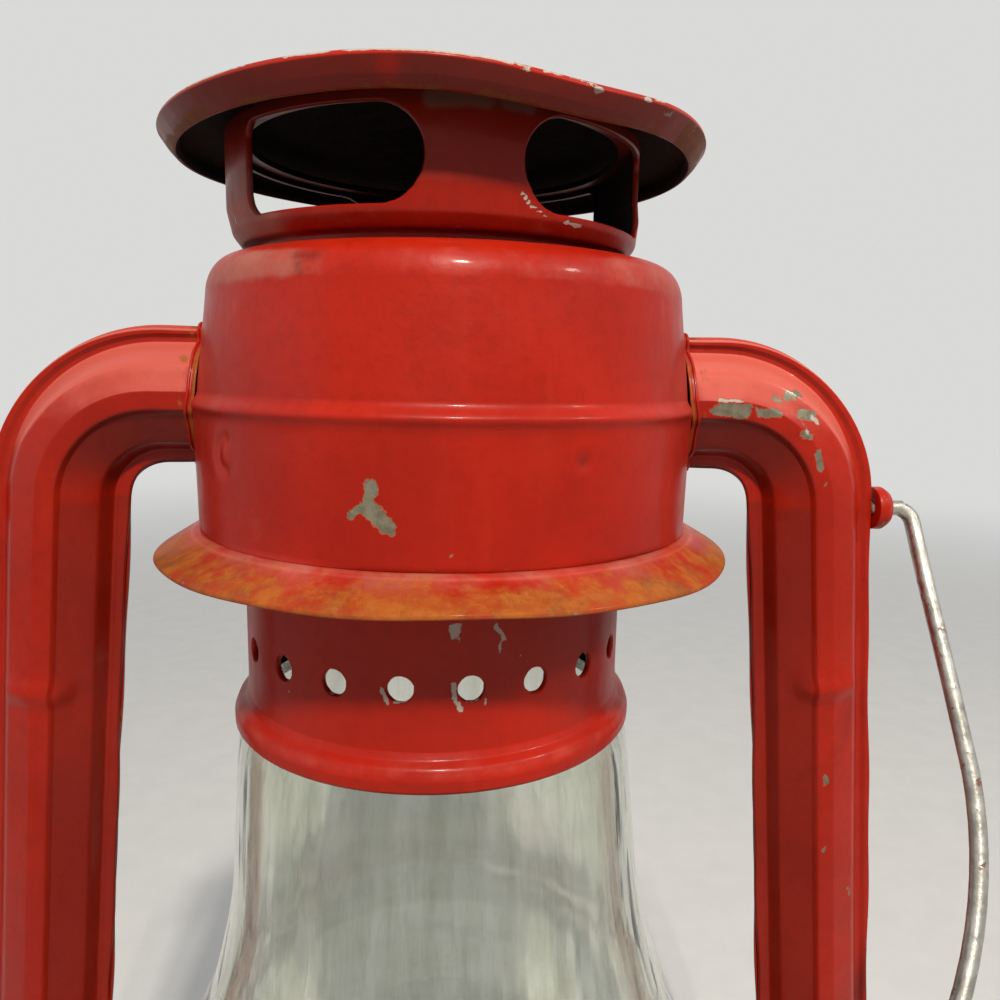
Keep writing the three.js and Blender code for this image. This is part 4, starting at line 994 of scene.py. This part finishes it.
def tank_bottom():
    pts = [(0, 1.6), (49.4, 1.6, 0.8, 3), (51.2, 0.0, 0.8, 3), (56.9, 0.0, 0.8, 4), (57.8, 0.9, 0.5, 4),
           (57.8, 4.7, 0.45, 4), (56.95, 5.15, 0.3, 3), (56.9, 1.9, 0.4, 2), (56.3, 0.95, 0.4, 2),
           (51.6, 0.95, 0.5, 2), (50.0, 2.5, 0.6, 2), (0, 2.5)]
    return lathe(resample(rounded(pts), 4.0), 200)


piece("tank_bottom_seamed", tank_bottom(), "lamp_body", RED, "tank_bottom")

FILLER = (-23.99, -29.985)
neck = rounded([(7.6, 38.3, 0.2, 2), (9.0, 38.3, 0.2, 2), (9.0, 40.8), (11.5, 40.82, 0.3, 3),
                (11.4, 41.65, 0.3, 3), (9.15, 41.8, 0.4, 3), (8.85, 42.6, 0.3, 2), (9.0, 43.3, 0.3, 2),
                (8.85, 44.2, 0.3, 2), (9.0, 45.1, 0.3, 2), (9.0, 46.75, 0.3, 3),
                (7.6, 46.75, 0.3, 3)], True)
piece("filler_neck_threaded", lathe(neck, 72, None, FILLER), "lamp_body", RED, "filler_neck")


def filler_cap():
    def knurl(R, T, Z):
        k = rise(R, 10.0, 0.5) * fall(Z, 49.2, 0.6) * rise(Z, 44.0, 0.5)
        return R - k * 0.45 * (0.5 + 0.5 * np.cos(24 * T)), Z
    pts = [(0, 48.85), (9.0, 48.85, 0.3, 2), (9.35, 48.4, 0.2, 2), (9.35, 43.65, 0.2, 2),
           (10.6, 43.65, 0.35, 3), (10.68, 49.3, 0.9, 5), (8.6, 50.25, 0.6, 4), (7.6, 49.85, 0.5, 3),
           (4.5, 49.95, 0.8, 3), (0, 50.15)]
    return lathe(resample(rounded(pts), 0.9), 192, knurl, FILLER)


piece("filler_cap_knurled", filler_cap(), "filler_cap_body", RED, "filler_cap")

gasket = rounded([(7.65, 47.12, 0.25, 2), (8.98, 47.12, 0.25, 2), (8.98, 48.45, 0.25, 2),
                  (7.65, 48.45, 0.25, 2)], True)
piece("filler_gasket_ring", lathe(gasket, 72, None, FILLER), "filler_gasket_body", RUBBER, "filler_gasket")


# Air box, burner

SHAFT_X, SHAFT_Z = 5.7, 54.0                  # the wick shaft's axis


def airbox_holes(verts):
    """The two tube mouths, and the wick shaft's hole in front."""
    mouths = box_field(verts[:, 1], verts[:, 2] - LOW_Z, 5, 6, 1.5)
    shaft = np.hypot(verts[:, 0] - SHAFT_X, verts[:, 2] - SHAFT_Z) - 1.45
    return np.minimum(mouths, np.where(verts[:, 1] < 0, shaft, FAR))


def air_box():
    prof = resample(rounded([(24.6, 40.85), (24.6, 63.0, 1.3, 6), (22.0, 63.0)]), 0.5)
    return shell(prof, 300, 0.9, 0.14, airbox_holes, lambda R, T, Z: (R + 0.28 * bump_at(Z, 43.2, 0.7), Z))


piece("air_box_drawn", air_box(), "lamp_body", RED, "air_box")

collar_loop = rounded([(12.9, 38.75, 0.3, 2), (15.1, 38.75, 0.3, 2), (15.15, 40.82), (17.35, 40.85, 0.3, 3),
                       (17.2, 41.65, 0.35, 3), (15.3, 41.8, 0.4, 3), (15.2, 44.7, 0.4, 3),
                       (12.9, 44.75, 0.3, 3)], True)
piece("burner_collar_turned", lathe(collar_loop, 120), "lamp_body", BRASS, "burner_collar")


def cone_slot(verts):
    return np.where(verts[:, 2] > 78, box_field(verts[:, 0], verts[:, 1], 2.9, 9, 0.5), FAR)


def cone():
    prof = rounded([(22.55, 63.4), (22.6, 73.3, 0.9, 4), (20.4, 73.6, 0.5, 3), (20.4, 77.2)])
    dome = spline([(20.4, 77.2), (19.2, 79.6), (14.3, 82.6), (7.5, 85.1), (0.6, 85.95)], 10)[1:]
    prof = resample(prof + dome, 0.5)
    return shell(prof, 240, 0.85, 0.15, cone_slot)


piece("burner_cone_domed", cone(), "lamp_body", BRASS, "burner_cone")


def knob():
    def knurl(R, T, Z):
        return R - rise(R, 6.9, 1.2) * 0.55 * (0.5 + 0.5 * np.cos(12 * T)), Z
    # about its own axis: 0 is the back of the rim, the hub is behind it, the dished face in front
    pts = [(1.2, -3.9, 0.2, 2), (3.0, -3.9, 0.4, 3), (3.15, -0.1, 0.5, 3), (7.9, 0.05, 0.35, 3),
           (8.5, 0.8, 0.5, 4), (8.5, 2.6, 0.6, 4), (7.7, 3.38, 0.4, 4), (6.6, 3.1, 0.6, 4),
           (4.4, 2.5, 1.2, 5), (2.3, 2.75, 0.6, 4), (1.9, 3.3, 0.4, 3), (1.2, 3.3, 0.2, 2)]
    verts, faces = lathe(resample(rounded(pts, True), 0.8), 168, knurl)
    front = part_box("wick_knob")[0].y / MM
    return np.stack([verts[:, 0] + SHAFT_X, front + 3.4 - verts[:, 2], verts[:, 1] + SHAFT_Z], 1), faces


piece("wick_knob_milled", knob(), "wick_drive", BRASS, "wick_knob")


def wick():
    lo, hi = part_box("wick")
    zs = np.arange(lo.z / MM, hi.z / MM + 0.01, 0.7)
    corners = ((-0.88, -6.9), (0.88, -6.9), (0.88, 6.9), (-0.88, 6.9))
    sec = rounded([(x, y, 0.5, 3) for x, y in corners], True)
    sec = closed_loop(sec, 0.7)
    verts = []
    for z in zs:
        thread = math.cos(2 * math.pi * z / 1.4)
        k = 1.0 - 0.06 * (0.5 + 0.5 * thread)
        verts += [(x * k, y * (1 - 0.004 * thread), z) for x, y in sec]
    verts = np.array(verts)
    return verts, capped(grid_faces(len(zs), len(sec)), len(sec))


piece("wick_strip", wick(), "wick_body", COTTON, "wick")


# CAD nodes that keep their own shape

KEPT = (
    (BRASS, ("burner_body", "wick_tube", "air_diffuser")),
    (BRASS, ("spur_wheel_front", "spur_wheel_back", "wick_shaft")),
    (STEEL, ("lift_strut", "lift_lever", "lever_pin", "hood_spring_front", "hood_spring_back")),
    (RED, ("lever_bracket",)),
)
for finish, name in [(finish, name) for finish, names in KEPT for name in names]:
    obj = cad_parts[name]
    obj.data.materials.clear()
    obj.data.materials.append(finish[0])
    if not name.startswith("hood_spring"):
        bevel = obj.modifiers.new("worn_edges", "BEVEL")
        bevel.width = 0.00025
        bevel.segments = 2
        bevel.limit_method = "ANGLE"
        bevel.angle_limit = rad(40)


# Wear, stains, and painted highlights, sheen and shade

def tree_of(obj):
    points = [v.co / MM for v in obj.data.vertices]
    return BVHTree.FromPolygons(points, [tuple(p.vertices) for p in obj.data.polygons])


TREES = {name: tree_of(obj) for name, obj in PIECES.items() if not name.startswith(("guard", "bail"))}


def on_lamp(px, py):
    """The place on the lamp that the camera sees at a point of the picture, in mm, and the piece it is on."""
    px, py = px - PICTURE / 2, PICTURE / 2 - py
    ray = Vector(FORWARD + CAM_X * px / FOCAL + CAM_Y * py / FOCAL).normalized()
    hits = [(tree.ray_cast(Vector(EYE), ray), name) for name, tree in TREES.items()]
    hits = [(hit[3], np.array(hit[0]), name) for hit, name in hits if hit[0] is not None]
    return min(hits, key=lambda hit: hit[0])[1:] if hits else (None, None)


# Worn places, stains and painted highlights by kind: the radius in mm, then the two ends of the mark in the
# picture
MARKS = {
    "chip": (
        (0.74, 371.5, 485, 371, 491), (0.48, 368, 497, 368, 503), (0.85, 366, 508, 374, 515),
        (0.95, 374, 515, 387, 527), (0.4, 350, 514, 360, 509), (0.3, 348, 516, 352, 518),
        (0.3, 391, 532, 393, 533), (0.12, 407, 428, 408, 429), (0.12, 452, 556, 454, 556),
        (0.95, 720, 409, 744, 411), (0.45, 713, 412, 751, 407), (0.62, 760, 413, 779, 413),
        (0.75, 788, 396, 799, 394), (0.4, 774, 399, 788, 398), (0.85, 801, 414, 812, 415),
        (0.5, 804, 435, 811, 436), (0.5, 818, 453, 821, 470), (0.18, 825, 445, 825, 446),
        (0.2, 822, 483, 826, 483), (0.5, 825, 778, 826, 784), (0.4, 848, 888, 849, 894),
        (0.35, 823, 850, 823, 852),
    ),
    "dark": ((0.5, 582, 463, 582, 464), (0.5, 296, 255, 316, 255), (0.35, 297, 264, 300, 271)),
    # pale flakes, and painted highlights: on the cap's rim at 645,99, the crown's left edge at 231,180, its
    # window edge from 521,190 to 580,226, and the tube's bend from 803,418 to 818,432
    "pale": (
        (0.75, 455, 629, 455, 636), (0.36, 496, 626, 504, 638), (0.2, 499, 644, 501, 656),
        (0.14, 510.4, 646, 511, 646), (0.12, 520.4, 655, 521, 656), (0.35, 381, 690, 387, 703),
        (0.28, 396, 702, 408, 700), (0.36, 453.5, 685, 454.5, 699), (0.42, 457, 702, 461, 709),
        (0.16, 464, 702, 478, 699), (0.22, 485.5, 699, 485, 704), (0.2, 289, 682, 289, 692),
        (0.2, 528, 690, 534, 691), (0.18, 330, 692, 333, 694), (0.2, 726, 382, 730, 381),
        (0.3, 830, 396, 838, 395), (0.16, 807, 427, 808, 427), (0.16, 815, 421, 816, 421),
        (0.3, 509, 62, 512, 63), (0.3, 522, 68, 527, 70), (0.22, 594, 86, 600, 89),
        (0.3, 645, 99, 652, 102), (0.4, 664, 111, 671, 113), (0.3, 698, 520, 703, 521),
        (0.3, 720, 549, 724, 551), (0.14, 306, 265, 307, 271), (0.4, 803, 425, 808, 432),
        (0.4, 812, 418, 818, 423), (0.35, 716, 400, 744, 401), (0.2, 521, 190, 529, 203),
        (0.2, 531, 205, 546, 215), (0.28, 566, 222, 580, 226), (0.16, 231, 180, 236, 222),
        (0.16, 632, 160, 632, 205), (0.3, 694, 128, 700, 134),
    ),
    # painted highlights along the bend's ridge and at the brim's left tip
    "fade_and_highlight": ((1.2, 714, 364, 745, 363), (1.0, 745, 363, 790, 380), (1.6, 157, 556, 166, 546)),
    "dust_and_sheen": ((0.9, 430, 98, 486, 99), (0.7, 508, 101, 530, 106)),
    "rust": ((1.0, 686, 130, 700, 152),),
}


def segment_distance(p, a, b):
    d = b - a
    t = np.clip(((p - a) @ d) / max(float(d @ d), 1e-9), 0, 1)
    return np.linalg.norm(p - a - t[:, None] * d, axis=1)


FIELDS = ("chip", "pale", "edge", "rust", "dust_and_sheen", "dark", "fade_and_highlight")
place = {name: np.array([v.co for v in o.data.vertices]) / MM for name, o in PIECES.items()}
facing_up = {name: np.array([v.normal.z for v in o.data.vertices]) for name, o in PIECES.items()}
field = {name: {k: np.zeros(len(place[name])) for k in FIELDS} for name in PIECES}

for kind, radius, x0, y0, x1, y1 in [(kind, *mark) for kind, marks in MARKS.items() for mark in marks]:
    a, on = on_lamp(x0, y0)
    b, on_b = on_lamp(x1, y1)
    if on is None or on == "globe_blown":
        continue
    near = 1 - segment_distance(place[on], a, b if on_b == on else a) / (2 * radius)
    strength = 0.6 if kind == "dark" else 1.0
    np.maximum(field[on][kind], strength * np.clip(near, 0, 1), out=field[on][kind])


# Where the cap's rim is worn pale along its top line, with a painted glint from -12 to 8 degrees: an angle
# round the rim, and how much
RIM_WORN_AND_GLINT = (
    (-180, 0.6), (-60, 0.9), (-33, 0.9), (-30, 0.3), (-25, 0.3), (-22, 0.9), (-14, 0.6), (-12, 1), (8, 1),
    (12, 0.7), (15, 0.3), (18, 0.7), (21, 0.4), (22, 0.5), (27, 0.5), (28, 0.2), (40, 0.2), (41, 0.8),
    (44, 0.8), (45, 0.2), (56, 0.3), (60, 0.6), (180, 0.6),
)


def wear_all():
    """Stains, dust, rubbed edges, and painted highlights, sheen and shade, by place."""
    for name, p in place.items():
        fd = field[name]
        x, y, z = p.T
        axis = LOOSE if name in ("cap_rolled", "crown_pressed", "collar_perforated") else 0
        r = np.hypot(x - axis, y)
        azimuth = np.degrees(np.arctan2(x - axis, -y))
        blot = waves(p, 14, 5)
        if name == "cap_rolled":
            # worn paint along the rim's top line, and the painted glint at the front
            worn = np.interp(azimuth, *zip(*RIM_WORN_AND_GLINT))
            level = z - (r / CAP_R) ** 3 * rim_lift(np.radians(azimuth))
            fd["pale"] += worn * bump_at(level, 246.5, 0.15) * (r > 36.9)
            fd["edge"] += 0.32 * bump_at(level, 246.4, 0.25) * (r > 36.9)
            fd["dust_and_sheen"] += 0.55 * (level > 246.8) * rise(level, 246.5, 2)
            # painted shade on the rim's face, left lighter in a painted highlight spot near -7 degrees
            face = (level < 246.15) * (r > 35.0) * fall(level, 246.15, 0.2)
            painted_highlight = bump_at(azimuth, -7, 1.6) * bump_at(level, 245.4, 1.0)
            fd["dark"] += 0.70 * face * (1 - painted_highlight)
            fd["rust"] += 0.55 * bump_at(level, 243.5, 0.75) * (r > 34.9) + 0.35 * (azimuth < -45) * face
            fd["rust"] += 0.5 * (azimuth > 58) * face
        elif name == "crown_pressed":
            fd["dust_and_sheen"] += 0.2 * (z < 233.3) + 0.06
            fd["dust_and_sheen"] += 0.5 * rise(-azimuth, 34, 12) * fall(z, 242, 4)
            fd["edge"] += 0.22 * bump_at(z, 233.2, 0.5)
            fd["rust"] += 0.30 * bump_at(z, 231.5, 0.7) + 0.2 * bump_at(z, 245.8, 0.8)
            # painted shade: a little all over, more in the cap's painted shadow from 235 mm up, most under
            # the rim
            fd["dark"] += 0.12 + 0.30 * rise(z, 235, 1.6) + 0.34 * rise(z, 243.4, 0.8)
        elif name == "chamber_drum":
            shoulder = rise(z, SHOULDER_LOW, 0.5) * fall(z, SHOULDER_TOP - 0.5, 0.9)
            # dust in blots, and painted sheen on the shoulder's rounding, towards the sides and over the left
            # shoulder
            fd["dust_and_sheen"] += 0.26 * shoulder + 0.06 * blot + 0.16 * rise(np.abs(azimuth - 2), 24, 12)
            fd["dust_and_sheen"] += 0.30 * shoulder * bump_at(azimuth, -52, 20) * (1 + 0.5 * waves(p, 6, 8))
            fd["rust"] += 0.22 * shoulder * bump_at(azimuth, -30, 12)
            # painted highlights of the lamps on the shoulder
            fd["fade_and_highlight"] += 0.30 * shoulder * (bump_at(azimuth, 1, 8) + bump_at(azimuth, 36, 7))
            fd["rust"] += 0.34 * bump_at(z, 193.6, 0.6) + 0.30 * bump_at(z, SHOULDER_TOP, 0.4) * (r > 27)
            # a painted vertical streak of reflection on the right side
            fd["fade_and_highlight"] += 0.35 * bump_at(azimuth, 52, 1.5) * rise(z, 214, 4) * (z < SHOULDER_LOW)
            fd["rust"] += 0.42 * bump_at(np.abs(x), 35, 2.2) * bump_at(z, TOP_Z, 9.5) * bump_at(y, 0, 9.5)
        elif name == "brim_flange":
            k = rise(r, 35.9, 4.2)
            fd["rust"] += np.where(z > 189.0, 0.30 + 0.52 * k + 0.14 * blot, 0.4)
            fd["dust_and_sheen"] += 0.48 - 0.2 * k
            fd["fade_and_highlight"] += 0.45 * bump_at(r, 36.8, 0.4)
            # rubbed edge worn to bare metal, which also stands as a painted highlight along the rim
            fd["edge"] += 0.42 * bump_at(r, 41.8, 0.35)
        elif name == "collar_perforated":
            fd["dust_and_sheen"] += 0.12
            fd["rust"] += 0.34 * bump_at(z, 163.7, 0.5) + 0.22 * bump_at(z, 192.8, 1.2)
            # painted highlight on the lip's upper rounding
            fd["fade_and_highlight"] += 0.30 * bump_at(z, 166.2, 0.9)
            fd["edge"] += 0.30 * bump_at(z, 164.2, 0.4)
        elif name.startswith("tube_"):
            fd["rust"] += 0.4 * bump_at(np.abs(x), 37.0, 1.2) * (z > 190) + 0.12 * (blot > 0.5)
            fd["rust"] += 0.30 * (np.abs(y) < 0.4)
            fd["dust_and_sheen"] += 0.05 + 0.07 * blot
            # painted highlight on faces turned up, painted shade on faces turned down and a little all over
            fd["fade_and_highlight"] += rise(facing_up[name], 0.2, 0.25) * (z > 190)
            fd["dark"] += 0.12 + 0.45 * fall(facing_up[name], -0.1, 0.3) * (z > 190)
            # painted shade on the sides facing the globe
            inner_side = (np.abs(x) < tube_x(z) - 2.4) & (z < 196) & (z > 60) & (np.abs(y) < 7.0)
            fd["dark"] += 0.28 * inner_side
        elif name.startswith("joint_ring"):
            from_drum = np.abs(x) - saddle(y, z, 0)
            fd["rust"] += 0.28 + 0.55 * fall(from_drum, 0.75, 0.3)
            fd["dust_and_sheen"] += 0.25
        elif name.startswith("ear_"):
            fd["edge"] += 0.45
            fd["rust"] += 0.2
        elif name == "tank_drawn":
            fd["dust_and_sheen"] += 0.42 * (z > 39.5) + 0.12 + 0.10 * blot
            fd["rust"] += 0.36 * bump_at(z, 5.5, 2.0) + 0.36 * bump_at(r, 25.5, 1.6) * (z > 38)
            fd["edge"] += 0.40 * bump_at(r, 56.4, 0.8) * bump_at(z, 36.5, 3)
            fd["edge"] += 0.42 * (bump_at(z, TANK_BEADS[0], 0.8) + bump_at(z, TANK_BEADS[1], 0.8))
        elif name == "tank_bottom_seamed":
            fd["rust"] += 0.45 + 0.1 * blot
            fd["edge"] += 0.50 * bump_at(r, 57.8, 0.5)
        elif name in ("filler_cap_knurled", "filler_neck_threaded"):
            fd["edge"] += 0.46
            fd["rust"] += 0.25
        elif name in ("globe_plate_pressed", "air_box_drawn"):
            fd["rust"] += 0.34 + 0.1 * blot
            fd["edge"] += 0.38 * bump_at(z, 78.9, 0.6)
        elif name == "chimney_sheet":
            fd["rust"] += 0.45
            fd["dark"] += 0.6
        elif name == "burner_cone_domed":
            fd["dark"] += rise(z, 80.5, 5) * 0.9
        elif name == "wick_strip":
            fd["dark"] += rise(z, 79.5, 1.8)
        elif name == "globe_blown":
            fd["dust_and_sheen"] += 0.22 * rise(z, 146, 18) + 0.25 * fall(z, 84, 6)
        elif name in ("bail_wire", "guard_wire_round"):
            fd["rust"] += 0.10


wear_all()
for name, obj in PIECES.items():
    for kind in FIELDS:
        data = field[name][kind]
        if np.any(data != 0):
            attribute = obj.data.attributes.new(kind, "FLOAT", "POINT")
            attribute.data.foreach_set("value", np.clip(data, -1, 1).astype(np.float32))


# Floor and light

PALE = (0.70, 0.70, 0.685)


def floor_material():
    s = Shader("pale_floor")
    grain = s.noise(60, 4, 0.6)
    colour = s.mix(s.ramp(grain, 0.3, 0.7), (0.70, 0.70, 0.685), (0.73, 0.73, 0.715))
    lighting = s.add("LightPath").outputs["Is Diffuse Ray"]
    plain = s.add("BsdfPrincipled", Base_Color=s.mix(lighting, colour, (0.30, 0.29, 0.28)), Roughness=0.85,
                  Specular_IOR_Level=0.2)
    far = s.add("Emission", Color=PALE)
    length = s.add("VectorMath", _0=s.coord)
    length.operation = "LENGTH"
    s.either(s.times(s.ramp(length.outputs["Value"], 0.35, 1.6), s.seen()), plain, far)
    return s.owner


def floor():
    rings = [0.0] + list(np.geomspace(60, 30000, 40))
    ang = np.arange(96) * 2 * math.pi / 96
    verts = [(0, 0, -0.05)]
    for r in rings[1:]:
        verts += [(r * math.cos(a), r * math.sin(a), -0.05) for a in ang]
    faces = [(0, 1 + j, 1 + (j + 1) % 96) for j in range(96)]
    for i in range(len(rings) - 2):
        a, b = 1 + i * 96, 1 + (i + 1) * 96
        faces += [(a + j, b + j, b + (j + 1) % 96, a + (j + 1) % 96) for j in range(96)]
    mesh = bpy.data.meshes.new("floor")
    mesh.from_pydata((np.array(verts) * MM).tolist(), [], faces)
    mesh.materials.append(floor_material())
    obj = bpy.data.objects.new("floor", mesh)
    bpy.context.scene.collection.objects.link(obj)


floor()

world = bpy.data.worlds.new("studio")
bpy.context.scene.world = world
studio = Shader("studio", world)
studio.either(studio.seen(), studio.add("Background", Color=(0.92, 0.95, 1.0), Strength=0.28),
              studio.add("Background", Color=PALE, Strength=1.0))


def area_light(name, azimuth, elevation, distance, size, power, colour, aim=(0, 0, 0.205), size_y=None):
    data = bpy.data.lights.new(name, "AREA")
    data.energy = power
    data.color = colour
    data.size = size
    if size_y:
        data.shape = "RECTANGLE"
        data.size_y = size_y
    obj = bpy.data.objects.new(name, data)
    a, e = rad(azimuth), rad(elevation)
    offset = Vector((math.sin(a) * math.cos(e), -math.cos(a) * math.cos(e), math.sin(e))) * distance
    obj.location = Vector(aim) + offset
    obj.rotation_mode = "QUATERNION"
    obj.rotation_quaternion = (-offset).to_track_quat("-Z", "Y")
    obj.visible_camera = False
    bpy.context.scene.collection.objects.link(obj)


area_light("key", 4, 46, 1.0, 0.075, 9.6, (1.0, 0.91, 0.80))
area_light("side_right", 66, 36, 1.0, 0.09, 2.8, (1.0, 0.95, 0.88))
area_light("side_left", -72, 18, 0.8, 0.5, 0.5, (0.84, 0.91, 1.0), size_y=0.7)
area_light("back", 170, 45, 1.0, 0.6, 1.2, (1.0, 0.98, 0.95))

bpy.context.scene.view_settings.view_transform = "Standard"
